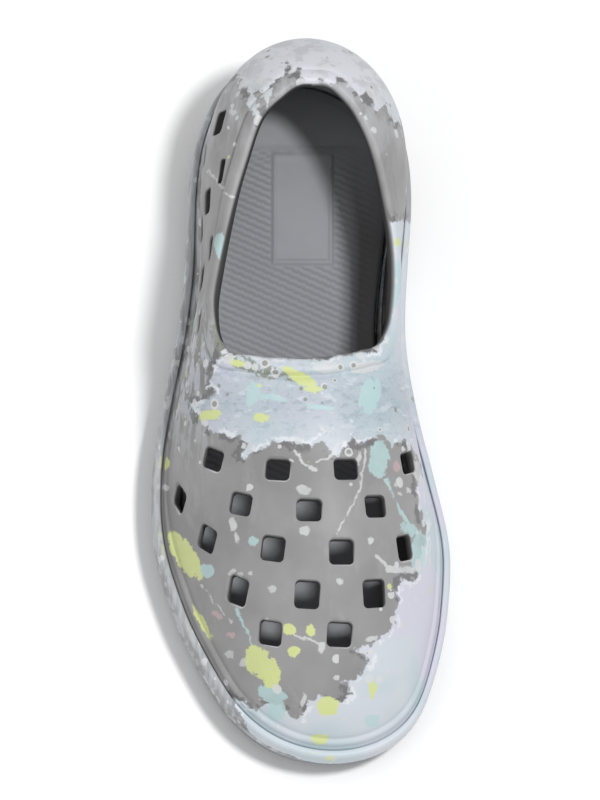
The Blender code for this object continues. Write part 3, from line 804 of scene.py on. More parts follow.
def splashed(make, at, warped, hidden, band, color):
    """Splashes that the photograph shows."""
    seen = make.one_less(hidden)
    patchy = make.noise(at, 120.0, 3.0, 0.6)
    moss = make.step(make.noise(at, 520.0, 3.0, 0.7), 0.42, 0.54)
    for ovals, strokes, paint_color, strength in (
        (MOSS, (), MOSS_PAINT, make.times(moss, 0.95)),
        (PINK, (), PINK_PAINT, 0.8),
        (AQUA, AQUA_STROKES, AQUA_PAINT, make.times_plus(patchy, 0.6, 0.5, True)),
        (WHITE, WHITE_STROKES, WHITE_PAINT, make.times_plus(patchy, 0.8, 0.32, True)),
        (YELLOW, (), YELLOW_PAINT, make.times_plus(patchy, 0.3, 0.78, True)),
    ):
        distance = make.nearest(warped, ovals, strokes, band)
        if distance is not None:
            share = make.one_less(make.step(distance, -0.22, 0.30))
            color = make.over(color, paint_color, share, seen, strength)
    return color


def splashed_by_cells(make, at, shift, hidden, color):
    """Splashes of the sides that the photograph doesn't show."""
    for scale, shown, paint_color, big in (
        (62.0, 0.80, YELLOW_PAINT, 0.30),
        (70.0, 0.78, AQUA_PAINT, 0.32),
        (95.0, 0.74, WHITE_PAINT, 0.22),
    ):
        moved = make.vector("ADD", at, make.scaled(shift, 0.0011))
        moved = make.vector("ADD", moved, (scale * 0.01, scale * 0.02, 0))
        distance, chance = make.cells(moved, scale)
        lot = make.math("GREATER_THAN", make.vector("DOT_PRODUCT", chance, (1, 0, 0)), shown)
        size = make.times(make.vector("DOT_PRODUCT", chance, (0, 1, 0)), big)
        share = make.math("GREATER_THAN", make.math("SUBTRACT", size, distance), 0.0)
        color = make.over(color, paint_color, share, lot, hidden)
    return color


def dotted(make, at, color):
    """Small drops near the pale fields and round the collar: the attributes set how many."""
    read = make.attribute
    speckled = read("speckled")
    printed = make.math("ADD", read("throat"), read("thin"))
    for scale, many, where, paint_color, big in (
        (330.0, 0.72, speckled, WHITE_PAINT, 0.46),
        (190.0, 0.36, speckled, WHITE_PAINT, 0.34),
        (230.0, 0.12, speckled, YELLOW_PAINT, 0.26),
        (330.0, 0.36, printed, SPECK_PAINT, 0.26),
    ):
        moved = make.vector("ADD", at, (scale * 0.013, 0.0, scale * 0.007))
        distance, chance = make.cells(moved, scale)
        lot = make.vector("DOT_PRODUCT", chance, (0, 0, 1))
        lot = make.math("GREATER_THAN", make.times_plus(where, many, lot), 1.0)
        size = make.times_plus(make.vector("DOT_PRODUCT", chance, (0, 1, 0)), big, 0.05)
        share = make.step(make.math("SUBTRACT", size, distance), -0.03, 0.04)
        color = make.over(color, paint_color, share, lot, 0.85)
    return color


def print_material(name, band):
    """The print over one band of the photograph's rows; neighbours join without a seam."""
    make = Nodes(name)
    read = make.attribute
    at = make.place()
    pixels = read("print_at", "Vector")
    hidden = read("hidden")
    # Edges run ragged: the same noise, coarse and fine, moves every shape's border.
    rough = make.noise(at, 230.0, 4.0, 0.68, "Color")
    shift = make.scaled(make.vector("SUBTRACT", rough, (0.5, 0.5, 0.5)), 4.4)
    warped = make.vector("ADD", pixels, shift)
    ragged = make.times_plus(make.noise(at, 330.0, 4.0, 0.66), 7.0, -3.5)
    field = make.math("ADD", read("pale"), ragged)
    slow = make.noise(at, 38.0, 3.0, 0.55)
    foam = foam_ground(make, at, slow)
    paint = pale_paint(make, at, pixels, shift)
    # The paint is broken along the foot of the sidewall.
    field = make.times_plus(read("worn"), make.times_plus(ragged, 2.4, -5.5), field)
    cover, color = covered(make, at, field, foam, paint)
    color = edged(make, at, field, color)
    color = splashed(make, at, warped, hidden, band, color)
    color = splashed_by_cells(make, at, shift, hidden, color)
    color = dotted(make, at, color)
    # Painted highlight along the ledge's top edge.
    color = make.over(color, PALE, read("ledge_highlight"), 0.28)
    cut_face = make.mix(make.step(slow, 0.3, 0.7), CUT_FOAM, CUT_FOAM_DEEP)
    color = make.mix(read("bare"), color, cut_face)
    # Painted highlight on the lower and medial edges of the holes' mouths.
    color = make.over(color, FOAM_PAINTED_HIGHLIGHT, read("lit_rim"), 0.8)
    # Painted shade: the inner face and the deep hole walls are dark grey for the shade inside the
    # shoe.
    inside = make.mix(make.step(slow, 0.3, 0.7), SHADED_FOAM, SHADED_FOAM_DEEP)
    color = make.mix(read("inner"), color, inside)
    normal, grain = foam_grain(make, at)
    gloss = make.times_plus(cover, -0.05, make.times_plus(grain, 0.10, 0.44))
    return finished(make, color, normal, make.times_plus(slow, 0.08, gloss), 0.45)


def finished(make, color, normal, roughness, sheen):
    make.put(make.shader.inputs["Base Color"], color)
    make.put(make.shader.inputs["Normal"], normal)
    make.put(make.shader.inputs["Roughness"], roughness)
    make.put(make.shader.inputs["Specular IOR Level"], sheen)
    return make.material


def plain_foam(name, light, dark, rough, grain_depth, groove_shade=None):
    make = Nodes(name)
    at = make.place()
    slow = make.noise(at, 45.0, 3.0, 0.55)
    fine = make.noise(at, 700.0, 3.0, 0.6)
    color = make.mix(make.step(slow, 0.35, 0.66), light, dark)
    color = make.over(color, dark, make.step(fine, 0.5, 0.75), 0.22)
    if groove_shade:
        # Painted shade: the grooves of the ribs are darkened.
        color = make.over(color, groove_shade, make.attribute("groove_shade"), 0.8)
        # Painted shade: the medial border of the cup is darkened for the shade under the collar.
        color = make.mix(make.attribute("rim_shade"), color, FOOTBED_RIM_SHADE)
    normal, grain = foam_grain(make, at, grain_depth)
    return finished(make, color, normal, make.times_plus(grain, 0.16, rough), 0.35)


# Pieces

def lift_at(rows, at):
    return smooth_rows(rows, 1, np.clip(at, rows[0][0], rows[-1][0]))


def level_at_foot(normals, stops):
    """Normals turned level towards the wall's foot, where the bead stands."""
    level = np.clip(stops / BEAD_HIGH, 0, 1)[:, None]
    flat = normals * [1, 1, 0]
    flat /= np.linalg.norm(flat, axis=1, keepdims=True)
    normals = flat * (1 - level) + normals * level
    return normals / np.linalg.norm(normals, axis=1, keepdims=True)


def upper_skin():
    """The moulded shell: bead, wall, lip, rounded crest and inner face in one closed skin."""
    outer, inner, crest, outer_normals = [], [], [], []
    wall_shares = np.linspace(0, 1, WALL_ROWS)
    foot = np.array([0.0, 0.3, 0.6, 0.9, 1.2, 1.6, 2.1, 2.5, 2.8, 3.05, 3.3, 3.6, 4.0, 4.5])
    lip = np.array([6.4, 5.7, 5.2, 4.85, 4.55, 4.3, 4.05, 3.8, 3.5, 3.0, 2.2, 1.5, CREST_DROP])
    for turn in turns(UPPER_COLUMNS):
        line = wall_line(turn)
        ahead = wall_line(turn + 1e-3)
        behind = wall_line(turn - 1e-3)
        whole = lengths_along(line)[-1]
        wall = WALL_FROM + (whole - WALL_TO - WALL_FROM) * wall_shares
        stops = np.concatenate([foot, wall, whole - lip])
        down = whole - stops
        lift = lift_at(FOOT_LIFT, stops) + np.where(down < 6.8, lift_at(LIP_LIFT, down), 0.0)
        normals = level_at_foot(normals_at(line, ahead, behind, stops / whole), stops)
        outer.append(points_at(line, stops) + normals * lift[:, None])
        outer_normals.append(normals)
        top, below, middle = points_at(line, whole - np.array([0.0, 0.5, CREST_DROP]))
        top_normal = normals_at(line, ahead, behind, np.array([1.0]))[0]
        up = (top - below) / np.linalg.norm(top - below)
        middle = middle + top_normal * (CREST_LIFT - WALL) / 2
        spread = (WALL + CREST_LIFT) / 2
        crest.append(
            [
                middle + top_normal * spread * math.cos(a) + up * CREST_HIGH * math.sin(a)
                for a in np.radians([14, 30, 48, 68, 90, 112, 132, 150, 166])
            ]
        )
        inside = whole * np.linspace(0.97, 0.0, INNER_ROWS)
        stops = np.concatenate([[whole - CREST_DROP], inside])
        normals = level_at_foot(normals_at(line, ahead, behind, stops / whole), stops)
        inner.append(points_at(line, stops) - normals * WALL)
    outer, crest, inner = np.array(outer), np.array(crest), np.array(inner)
    columns = np.concatenate([outer, crest, inner], axis=1)
    points = columns.transpose(1, 0, 2).reshape(-1, 3)
    faces = ring_faces(columns.shape[1], UPPER_COLUMNS, closed=True)
    skin = new_object("upper_skin", points, faces)
    carve(skin, joined("hole_cutters", [hole_cutter(*hole) for hole in hole_places()]))
    normals = np.array(outer_normals)
    crest_normals = np.repeat(normals[:, -1:], 4, axis=1)
    grid = np.concatenate([outer, crest[:, :4]], axis=1)[:, ::-1]
    grid_normals = np.concatenate([normals, crest_normals], axis=1)[:, ::-1]
    return skin, grid, grid_normals


def rounded_square(half_long, half_high, radius, steps=6):
    corners = []
    for sx, sy, first in ((1, 1, 0), (-1, 1, 90), (-1, -1, 180), (1, -1, 270)):
        for a in np.radians(first + np.linspace(0, 90, steps)):
            x = sx * (half_long - radius) + radius * math.cos(a)
            corners.append((x, sy * (half_high - radius) + radius * math.sin(a)))
    return np.array(corners)


def hole_cutter(centre, normal, row_way, half_long, half_high):
    """A rounded square bar through the wall, widening to a soft mouth at the outer face."""
    normal = np.asarray(normal) / np.linalg.norm(normal)
    along = np.asarray(row_way, float)
    along = along - along @ normal * normal
    along /= np.linalg.norm(along)
    up = np.cross(normal, along)
    rings = [(0.0, -WALL - 4.0), (0.0, -MOUTH)]
    for a in np.radians([18, 36, 54, 70]):
        rings.append((MOUTH * (1 - math.cos(a)), -MOUTH + MOUTH * math.sin(a)))
    rings.append((rings[-1][0] + 3.0, 3.0 + rings[-1][1]))
    # Below the mouth the holes of the vamp lean towards the vertical, as a mould's pins do.
    on_vamp = normal[2] > 0.3 and centre[1] < 0
    inward = normal * 0.4 + np.array([0.0, 0.0, 0.6]) if on_vamp else normal
    inward = inward / (inward @ normal)
    points = []
    for out, depth in rings:
        radius = min(HOLE_ROUND, half_high * 0.62) + out
        for x, y in rounded_square(half_long + out, half_high + out, radius):
            way = inward if depth < 0 else normal
            points.append(np.asarray(centre) + along * x + up * y + way * depth)
    return points, bar_faces(len(rings), len(points) // len(rings))


def ring_stack(rings, count):
    points = []
    for inset, height in rings:
        across, along = outline(turns(count), inset)
        points.append(np.stack([across, along, height(along)], axis=-1))
    return np.array(points)


def midsole_skin():
    def from_bottom(rise):
        return lambda along: bottom(along) + PLATE + GAP + rise

    def from_ledge(drop):
        return lambda along: ledge(along) - drop

    def between(share):
        return lambda along: (bottom(along) + PLATE + GAP) * (1 - share) + ledge(along) * share

    def from_well(rise):
        return lambda along: well(along) + rise

    foot = ((1.0, 0.0), (-0.35, 0.0), (-0.75, 0.10), (-1.02, 0.32), (-1.18, 0.68))
    shares = np.linspace(0.16, 0.62, 7)
    top = (
        (0.0, 1.9), (0.02, 1.35), (0.12, 0.90), (0.32, 0.50), (0.60, 0.20), (0.95, 0.04),
        (1.35, 0.0), (1.85, 0.0), (2.05, 0.08), (2.16, 0.28), (SEAT_FROM + 0.12, 0.70),
        (SEAT_FROM + 0.15, SEAT_DROP), (4.0, SEAT_DROP), (SEAT_TO, SEAT_DROP),
        (SEAT_TO + 0.25, SEAT_DROP + 0.4),
    )
    floor_edge = ((0.5, 0.8), (0.8, 0.2), (1.3, 0.0))
    rings = [(PLATE_INSET + inset, from_bottom(rise)) for inset, rise in foot]
    rings += [(0.62 * (1 - (share - 0.10) / 0.56) ** 1.6, between(share)) for share in shares]
    rings.append((0.0, between(0.70)))
    rings += [(inset, from_ledge(drop)) for inset, drop in top]
    rings += [(SEAT_TO + inset, from_well(rise)) for inset, rise in floor_edge]
    stack = ring_stack(rings, SOLE_COLUMNS)
    faces = slab_faces(len(rings), SOLE_COLUMNS)
    skin = new_object("midsole_skin", stack.reshape(-1, 3), faces)
    # Columns for the print: from the seat's edge over the ledge and down the sidewall.
    columns = stack[4:25][::-1].transpose(1, 0, 2)
    ahead = np.roll(columns, -1, axis=0) - np.roll(columns, 1, axis=0)
    down = np.gradient(columns, axis=1)
    normals = np.cross(down, ahead)
    normals /= np.linalg.norm(normals, axis=2, keepdims=True) + 1e-9
    if (normals[:, 8] * (columns[:, 8] - columns.mean(axis=(0, 1))) * [1, 1, 0]).sum() < 0:
        normals = -normals
    return skin, columns, normals


def lit_rims(places, depth):
    """How far each point lies on the lower or medial edge of a hole's soft mouth, where a highlight
    is painted.
    """
    share = np.zeros(len(places))
    on_mouth = np.clip((depth - 0.02) / 0.05, 0, 1) * np.clip((1.0 - depth) / 0.25, 0, 1)
    for centre, _normal, _row_way, half_long, half_high in hole_places():
        apart = places - centre
        near = np.linalg.norm(apart, axis=1) < 7.5
        side = (-apart[:, 1] / half_high + 0.35 * apart[:, 0] / half_long) - 0.45
        share = np.maximum(share, on_mouth * near * np.clip(side / 0.4, 0, 1))
    return share


def bell(values, middle, wide):
    return np.exp(-(((values - middle) / wide) ** 2))


def dress_with_print(skin, grid, normals, holed):
    """Keeps on the piece's points all that the print material reads."""
    pixels, hidden = print_places(grid, normals)
    places = points_of(skin)
    index, (mixed, veil) = nearest_rows(grid, (pixels, hidden), places)
    veil = veil[:, 0]
    apart = places - grid.reshape(-1, 3)[index]
    depth = -(apart * normals.reshape(-1, 3)[index]).sum(axis=1)
    share = np.clip(veil * 3, 0, 1)[:, None]
    at = seen_at(places) * (1 - share) + mixed * share
    x, y = at[:, 0], at[:, 1]
    pale = np.maximum(inside_distance(at, PALE_FRONT), inside_distance(at, PALE_HEEL))
    nothing = np.zeros(len(places))
    bare = inner = rim_highlight = ledge_highlight = worn = nothing
    if holed:
        bare = np.clip((depth - 0.25) / 0.35, 0, 1)
        # Painted shade: the inner face and the deeper hole walls take a dark grey, on the quarters'
        # slots from nearer the outer face.
        shade_from = np.where(places[:, 1] < 4.0, 2.5, np.where(places[:, 0] < 0, 0.1, 0.5))
        inner = np.clip((depth - shade_from) / 0.5, 0, 1)
        rim_highlight = lit_rims(places, depth)
    else:
        # Painted highlight: a pale line along the top edge of the ledge.
        ledge_highlight = bell(places[:, 2] - ledge(places[:, 1]), -0.3, 0.9)
        low = places[:, 2] - bottom(places[:, 1]) - PLATE
        worn = np.clip(1.0 - (low - 1.6) / 3.6, 0, 1)
    # Regions, about rows and columns of the photograph
    # Round the heel the haze also paints light: the heel is made lighter as if lit from behind.
    heel = bell(y, 284, 26) * (y < 340)
    collar = bell(x, 232, 34) * bell(y, 292, 22)
    lip = bell(x, 222, 22) * bell(y, 392, 7)
    side = bell(x, 192, 9) * bell(y, 402, 28)
    near_edge = bell(np.abs(pale), 0, 8) * 0.42
    speckled = np.maximum.reduce([1.2 * collar, lip, side, near_edge, veil * 0.5])
    streaked = np.maximum(1.4 * bell(x, 190, 10) * bell(y, 396, 22), veil * 0.5)
    for name, values in (
        ("print_at", np.column_stack([at, nothing])),
        ("pale", np.clip(pale, -30, 30)),
        ("hidden", veil),
        ("bare", bare),
        ("inner", inner),
        ("thin", bell(y, 278, 20) * (y < 330)),
        ("lit_rim", rim_highlight),
        ("throat", bell(y, THROAT_ROW, 14) * (1 - veil)),
        ("hazy_and_lit", np.clip(heel + 0.4 * veil, 0, 1)),
        ("ledge_highlight", ledge_highlight),
        ("worn", worn),
        ("brushed", bell(y, THROAT_ROW - 1, 16) * (x > 190)),
        ("speckled", np.clip(speckled, 0, 1)),
        ("streaked", np.clip(streaked, 0, 1)),
    ):
        keep_attribute(skin, name, values)


def lug_nodes():
    found = []
    for i in range(-9, 10):
        for j in range(-9, 12):
            x = LUG_AT[0] + i * LUG_STEP_A[0] + j * LUG_STEP_C[0] - MIDDLE_SHIFT
            y = LUG_AT[1] + i * LUG_STEP_A[1] + j * LUG_STEP_C[1]
            if abs(x) < 55 and abs(y) < HALF + 8:
                found.append((x, y))
    return found


def diamond_corners(x, y, scale):
    a = np.array(LUG_STEP_A)
    b = a - np.array(LUG_STEP_C)
    signs = ((1, 1), (-1, 1), (-1, -1), (1, -1))
    return [np.array([x, y]) + scale * (p * a + q * b) / 2 for p, q in signs]


def even_corners(centre, radius, first, count):
    return [
        centre + radius * np.array([math.cos(a), math.sin(a)])
        for a in first + np.arange(count) * 2 * math.pi / count
    ]


def hexagon_corners(x, y):
    toward = math.atan2(LUG_STEP_A[1], LUG_STEP_A[0])
    radius = HEXAGON_FLAT / 2 / math.cos(math.pi / 6)
    return even_corners(np.array([x, y]), radius, toward + math.pi / 6, 6)


def softened(corners, radius, out, steps=4):
    """A polygon moved outwards, its corners rounded."""
    corners = [np.asarray(c, float) for c in corners]
    area = sum(a[0] * b[1] - a[1] * b[0] for a, b in zip(corners, corners[1:] + corners[:1]))
    if area < 0:
        corners = corners[::-1]
    count = len(corners)
    lines = []
    for i in range(count):
        a, b = corners[i], corners[(i + 1) % count]
        way = (b - a) / np.linalg.norm(b - a)
        normal = np.array([way[1], -way[0]])
        lines.append((a - normal * radius, way, normal))
    points = []
    for i in range(count):
        (a, v, n), (b, w, m) = lines[i - 1], lines[i]
        t = np.linalg.solve(np.array([v, -w]).T, b - a)[0]
        centre = a + v * t
        start = math.atan2(n[1], n[0])
        sweep = (math.atan2(m[1], m[0]) - start) % (2 * math.pi)
        for k in range(steps):
            angle = start + sweep * k / (steps - 1)
            points.append(centre + (radius + out) * np.array([math.cos(angle), math.sin(angle)]))
    return np.array(points)


def tapered(corners, rings, radius):
    """Points and faces of a bar whose rings are (moved outwards, height)."""
    points = []
    for out, height in rings:
        points += [(x, y, height) for x, y in softened(corners, radius, out)]
    return points, bar_faces(len(rings), len(points) // len(rings))


def inside_outline(x, y, inset):
    if abs(y) >= HALF - inset:
        return False
    turn = math.acos(-y / (HALF - inset))
    medial = outline(turn, inset)[0]
    lateral = outline(-turn, inset)[0]
    return lateral < x < medial


def flat_plate(name, inset, rings, count=240):
    """A plate within the outline whose rings are (moved inwards, height)."""
    rings = [(inset + more, lambda along, h=height: 0 * along + h) for more, height in rings]
    return new_object(name, ring_stack(rings, count).reshape(-1, 3), slab_faces(len(rings), count))


def tread_cutters(edge):
    """Bars for the lugs, for the pits in the rear ones and for the dimples between the front ones.

    The rings of a bar are (moved outwards, height).
    """
    lug_rings = (
        (-0.9, -4.0), (-0.9, -0.25), (-0.25, -0.001), *SOFT_EDGE,
        (0.42, TREAD_DEPTH + 0.002), (0.42, TREAD_DEPTH + 2.0),
    )
    pit_rings = (
        (0.9, -1.0), (0.25, -0.001), (0.07, 0.12), (0.0, 0.30), (-0.15, PIT_DEPTH - 0.1),
        (-0.35, PIT_DEPTH),
    )
    dimple_rings = (
        (0.6, 1.0), (0.15, TREAD_DEPTH - 0.002), (0.0, TREAD_DEPTH + 0.2),
        (-0.25, TREAD_DEPTH + 0.9),
    )
    lugs, pits, dimples = [], [], []
    for x, y in lug_nodes():
        if HEXAGONS_FROM < y < HEXAGONS_TO:
            lugs.append(tapered(hexagon_corners(x, y), lug_rings, LUG_ROUND))
            continue
        lugs.append(tapered(diamond_corners(x, y, DIAMOND), lug_rings, LUG_ROUND))
        if y >= HEXAGONS_TO and inside_outline(x, y, edge + 4.5):
            pits.append(tapered(diamond_corners(x, y, DIAMOND_PIT), pit_rings, 0.5))
    a = np.array(LUG_STEP_A)
    c = np.array(LUG_STEP_C)
    for x, y in lug_nodes():
        for steps in ((a, c), (a, a - c)):
            centre = np.array([x, y]) + (steps[0] + steps[1]) / 3
            among = HEXAGONS_FROM + 8 < centre[1] < HEXAGONS_TO - 6
            if among and inside_outline(*centre, edge + 2.6):
                toward = math.atan2(*(np.array([x, y]) - centre)[::-1]) + math.pi
                corners = even_corners(centre, 1.75, toward, 3)
                dimples.append(tapered(corners, dimple_rings, 0.3))
    return lugs, pits, dimples


def bend(plate):
    """Cuts the flat plate into strips and lifts them to the walking face's curve."""
    work = bmesh.new()
    work.from_mesh(plate.data)
    places = list(np.linspace(-HALF + 2.0, TOE_SPRING_FROM, 22))
    places += list(np.linspace(ARCH_FROM, ARCH_TO, 14))
    places += list(np.linspace(HEEL_BEVEL_FROM, HALF - 2.5, 8))
    for place in places:
        geometry = work.verts[:] + work.edges[:] + work.faces[:]
        cut_at = (0, (place + 0.137) * MM, 0)
        bmesh.ops.bisect_plane(work, geom=geometry, dist=1e-7, plane_co=cut_at, plane_no=(0, 1, 0))
    for vertex in work.verts:
        vertex.co.z += float(bottom(vertex.co.y / MM)) * MM
    work.to_mesh(plate.data)
    work.free()


def outsole_skin():
    """The tread plate: soft-edged lugs in a recess, pitted at the rear, with dimples between."""
    plate_rings = (
        (0.7, 0.0), (0.35, 0.05), (0.1, 0.25), (0.0, 0.6), (0.0, 2.2), (0.0, PLATE - 0.3),
        (0.3, PLATE),
    )
    recess_rings = ((-1.2, -1.0), (-0.25, 0.0), *SOFT_EDGE, (0.42, TREAD_DEPTH))
    edge = PLATE_INSET + TREAD_RIM
    plate = flat_plate("outsole_skin", PLATE_INSET, plate_rings)
    recess = flat_plate("recess", edge, recess_rings)
    lugs, pits, dimples = tread_cutters(edge)
    carve(recess, joined("lug_cutters", lugs))
    carve(plate, joined("pit_cutters", pits))
    carve(plate, recess)
    carve(plate, joined("dimple_cutters", dimples))
    bend(plate)
    return plate


def fading(past):
    """1 well before a place, 0 well past it."""
    return 1 / (1 + np.exp(np.clip(past, -40, 40)))


def footbed_relief(px, py, edge):
    """Rise of the footbed's ribs, frame and step at pixels, and how much painted shade each takes
    in a groove.
    """
    # Ribs run down to the right, with a fine zigzag along each.
    run = px * math.cos(RIB_SLOPE) + py * math.sin(RIB_SLOPE)
    over = -px * math.sin(RIB_SLOPE) + py * math.cos(RIB_SLOPE)
    zigzag = np.abs(((run / 3.4) % 1.0) - 0.5) * 4 - 1
    phase = (over + 0.16 * zigzag) / RIB_PITCH
    rib = 0.5 + 0.5 * np.cos(2 * math.pi * phase)
    beads = 0.88 + 0.12 * np.cos(2 * math.pi * run / 1.7)
    # They fade out towards the toe and along the medial border.
    medial_border = fading((250.0 + (py - 352) * 0.12 - px) / 2.0)
    seen_ribs = fading((py - 432.0) / 6.0) * (1 - 0.75 * medial_border)
    left, right, back, front = PANEL
    inside = np.minimum(np.minimum(px - left, right - px), np.minimum(py - back, front - py))
    open_ribs = fading((inside + 1.6) / 0.25)
    fade = np.clip((edge - 1.2) / 2.5, 0, 1)
    behind = fading((py - HEEL_STEP - 0.7) / 0.35)
    ribs = RIB_HIGH * (2 * rib * beads - 1.15) * open_ribs * (1 - behind) * seen_ribs
    relief = ribs + FRAME_HIGH * bell(inside, 0, 0.6) * (1 - behind) - FRAME_HIGH * behind
    relief = relief + 0.45 * bell(py, HEEL_STEP, 0.8)
    beside = bell(inside, -1.1, 0.5) * (1 - behind)
    # Painted shade: the rib grooves and the groove beside the panel's frame are darkened.
    hollow = np.clip(0.2 - ribs * fade / 0.3, 0, 1) * (np.abs(ribs) > 0.01)
    return relief * fade, np.maximum(hollow, 0.9 * beside * fade)


def closed_below(points, rows, columns):
    """Points and faces of a pad whose top is a grid of points."""
    faces = []
    for j in range(rows - 1):
        for i in range(columns - 1):
            k = j * columns + i
            faces.append((k, k + 1, k + columns + 1, k + columns))
    loop = list(range(0, columns)) + [j * columns + columns - 1 for j in range(1, rows)]
    loop += [(rows - 1) * columns + i for i in range(columns - 2, -1, -1)]
    loop += [j * columns for j in range(rows - 2, 0, -1)]
    points = list(map(tuple, points))
    border = np.array([points[k] for k in loop])
    for inward, rise in ((0.0, 0.9), (0.9, 0.0)):
        ring = []
        for x, y, _z in border:
            way = np.array([x - 1.5, y * 0.9])
            way = way / (np.linalg.norm(way) + 1e-9)
            x2, y2 = np.array([x, y]) - way * inward
            points.append((x2, y2, float(well(y)) + GAP + rise))
            ring.append(len(points) - 1)
        for i in range(len(loop)):
            j = (i + 1) % len(loop)
            faces.append((loop[i], loop[j], ring[j], ring[i]))
        loop = ring
    # The underside in strips between the two long sides
    toe = loop[:columns]
    medial_side = loop[columns:columns + rows - 2]
    heel = loop[columns + rows - 2:2 * columns + rows - 2]
    lateral_side = loop[2 * columns + rows - 2:][::-1]
    left = [toe[0]] + lateral_side + [heel[-1]]
    right = [toe[-1]] + medial_side + [heel[0]]
    for j in range(len(left) - 1):
        faces.append((left[j], right[j], right[j + 1], left[j + 1]))
    return points, faces + [tuple(toe), tuple(heel)]


def footbed_skin():
    """The footbed: a cupped pad with slanting wavy ribs, a bare framed panel and a heel step."""
    reach = HALF - FOOTBED_INSET
    columns = 168
    # Rows lie close together where the ribs are seen.
    low, high = FINE_RIBS
    toe_rows = -reach * np.cos(np.linspace(0.012, math.acos(-low / reach), 110))
    heel_rows = -reach * np.cos(np.linspace(math.acos(-high / reach), math.pi - 0.012, 50))
    along_rows = np.concatenate([toe_rows[:-1], np.linspace(low, high, 340), heel_rows[1:]])
    rows = len(along_rows)
    theta = np.arccos(-along_rows / reach)[:, None]
    t = np.linspace(-1, 1, columns)[None, :]
    medial = outline(theta, FOOTBED_INSET)
    lateral = outline(-theta, FOOTBED_INSET)
    across = (medial[0] + lateral[0]) / 2 + (medial[0] - lateral[0]) / 2 * t
    along = medial[1] + 0 * t
    edge = (1 - np.sqrt((t * np.sin(theta)) ** 2 + np.cos(theta) ** 2)) * 27.0
    cup = np.interp(edge, *np.transpose(CUP_ROWS))
    top = well(along) + GAP + FOOTBED + cup
    pixels = seen_at(np.stack([across, along, top], axis=-1))
    relief, groove_shade = footbed_relief(pixels[..., 0], pixels[..., 1], edge)
    grid = np.stack([across, along, top + relief], axis=-1).reshape(-1, 3)
    points, faces = closed_below(grid, rows, columns)
    footbed = new_object("footbed_skin", points, faces)
    # Painted shade: the medial border of the cup is painted as dark as the wall beside it, for the
    # shade under the collar.
    medial_part = np.clip((t - 0.3) / 0.35, 0, 1) * np.clip((np.sin(theta) - 0.55) / 0.3, 0, 1)
    border = np.clip((8.0 - edge) / 3.0, 0, 1) * medial_part
    for name, values in (("groove_shade", groove_shade), ("rim_shade", border)):
        kept = np.zeros(len(points))
        kept[:rows * columns] = values.reshape(-1)
        keep_attribute(footbed, name, kept)
    return footbed


def lay_print(piece, materials):
    """Gives each face the copy of the print material that covers its band."""
    mesh = piece.data
    for material in materials:
        mesh.materials.append(material)
    at = np.empty(len(mesh.vertices) * 3, np.float32)
    mesh.attributes["print_at"].data.foreach_get("vector", at)
    row = at.reshape(-1, 3)[:, 1]
    first = np.array([polygon.vertices[0] for polygon in mesh.polygons])
    band = np.clip(np.searchsorted(BANDS, row[first]) - 1, 0, len(materials) - 1)
    mesh.polygons.foreach_set("material_index", band.astype(np.int32))


# Build

bands = zip(BANDS, BANDS[1:])
print_foam = [print_material("printed_foam_%d" % i, band) for i, band in enumerate(bands)]
skin, grid, normals = upper_skin()
dress_with_print(skin, grid, normals, holed=True)
finish_shading(skin)
lay_print(skin, print_foam)

side, side_grid, side_normals = midsole_skin()
dress_with_print(side, side_grid, side_normals, holed=False)
finish_shading(side)
lay_print(side, print_foam)

tread = outsole_skin()
finish_shading(tread, 48.0)
tread_foam = plain_foam("tread_foam", srgb(147, 150, 155), srgb(134, 137, 142), 0.52, 0.00005)
tread.data.materials.append(tread_foam)

footbed = footbed_skin()
finish_shading(footbed, 60.0)
footbed_colors = srgb(160, 161, 166), srgb(153, 154, 159)
groove_shade_color = srgb(128, 129, 134)
footbed_foam = plain_foam("footbed_foam", *footbed_colors, 0.56, 0.00004, groove_shade_color)
footbed.data.materials.append(footbed_foam)

for piece, node, slot in (
    (skin, "upper", "upper"),
    (side, "midsole", "midsole"),
    (tread, "outsole", "outsole"),
    (footbed, "insole", "insole"),
):
    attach(piece, "root")
    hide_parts(node)

# Floor, light and camera

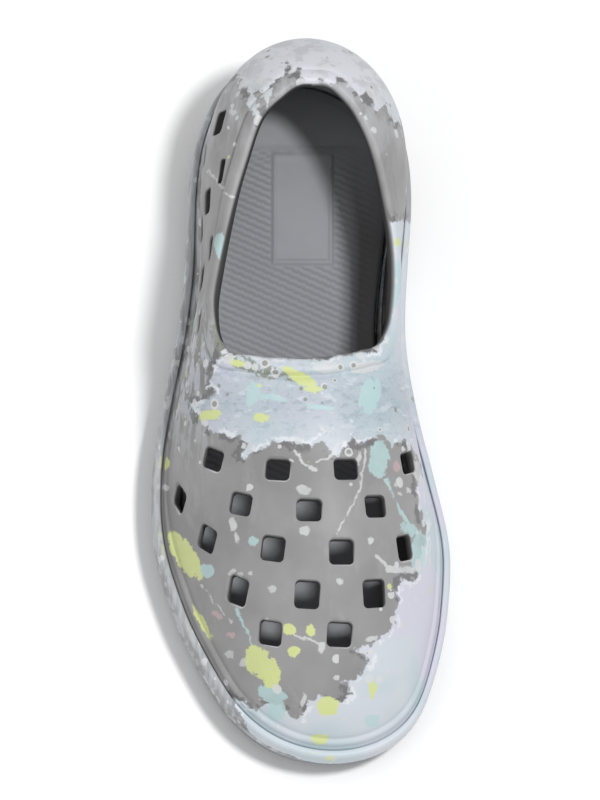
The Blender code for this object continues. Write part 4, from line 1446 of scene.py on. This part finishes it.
FLOOR_REACH = 6
FLOOR_DROP = 0.0002
floor_mesh = bpy.data.meshes.new("floor")
floor_corners = ((-1, -1), (1, -1), (1, 1), (-1, 1))
floor_mesh.from_pydata(
    [(FLOOR_REACH * x, FLOOR_REACH * y, -FLOOR_DROP) for x, y in floor_corners], [], [(0, 1, 2, 3)]
)
floor = linked("floor", floor_mesh)
make = Nodes("floor")
paper = make.mix(make.noise(make.place(), 3.0), srgb(252, 252, 252), srgb(249, 249, 250))
make.put(make.shader.inputs["Base Color"], paper)
make.put(make.shader.inputs["Roughness"], 0.85)
paper_bump = make.bump(make.noise(make.place(), 400.0), 0.0002, 0.2)
make.put(make.shader.inputs["Normal"], paper_bump)
floor.data.materials.append(make.material)

LIT = Vector((0, 0, 0.03))
for name, place, size, power in (
    ("key", (0.35, -0.20, 1.5), 0.20, 13.5),
    ("top", (-0.10, -0.10, 1.5), 1.5, 2.5),
    ("fill", (-1.0, -0.5, 0.9), 1.2, 2.6),
):
    light = bpy.data.lights.new(name, "AREA")
    light.shape = "DISK"
    light.size = size
    light.energy = power
    light_object = linked(name, light)
    light_object.location = place
    light_object.rotation_euler = (LIT - Vector(place)).to_track_quat("-Z", "Y").to_euler()

world = bpy.data.worlds.new("studio")
world.use_nodes = True
background = world.node_tree.nodes["Background"]
background.inputs["Color"].default_value = (1.0, 1.0, 1.0, 1)
background.inputs["Strength"].default_value = 0.42
bpy.context.scene.world = world
bpy.context.scene.view_settings.view_transform = "Standard"

DISTANCE = 2.4
VIEW_HEIGHT = 0.2215
LOOKED_AT = (232.4, 406.0, 28.0)  # a pixel of the photograph, and the height there
camera = bpy.data.cameras.new("camera")
camera.sensor_fit = "VERTICAL"
camera.sensor_height = 24.0
camera.lens = 24.0 * DISTANCE / VIEW_HEIGHT
camera.clip_end = 20.0
camera_object = linked("camera", camera)
place = under_pixel(*LOOKED_AT) * MM + TOWARD * DISTANCE
turned = [(RIGHT[k], UP[k], TOWARD[k], place[k]) for k in range(3)]
camera_object.matrix_world = Matrix((*turned, (0, 0, 0, 1)))
bpy.context.scene.camera = camera_object
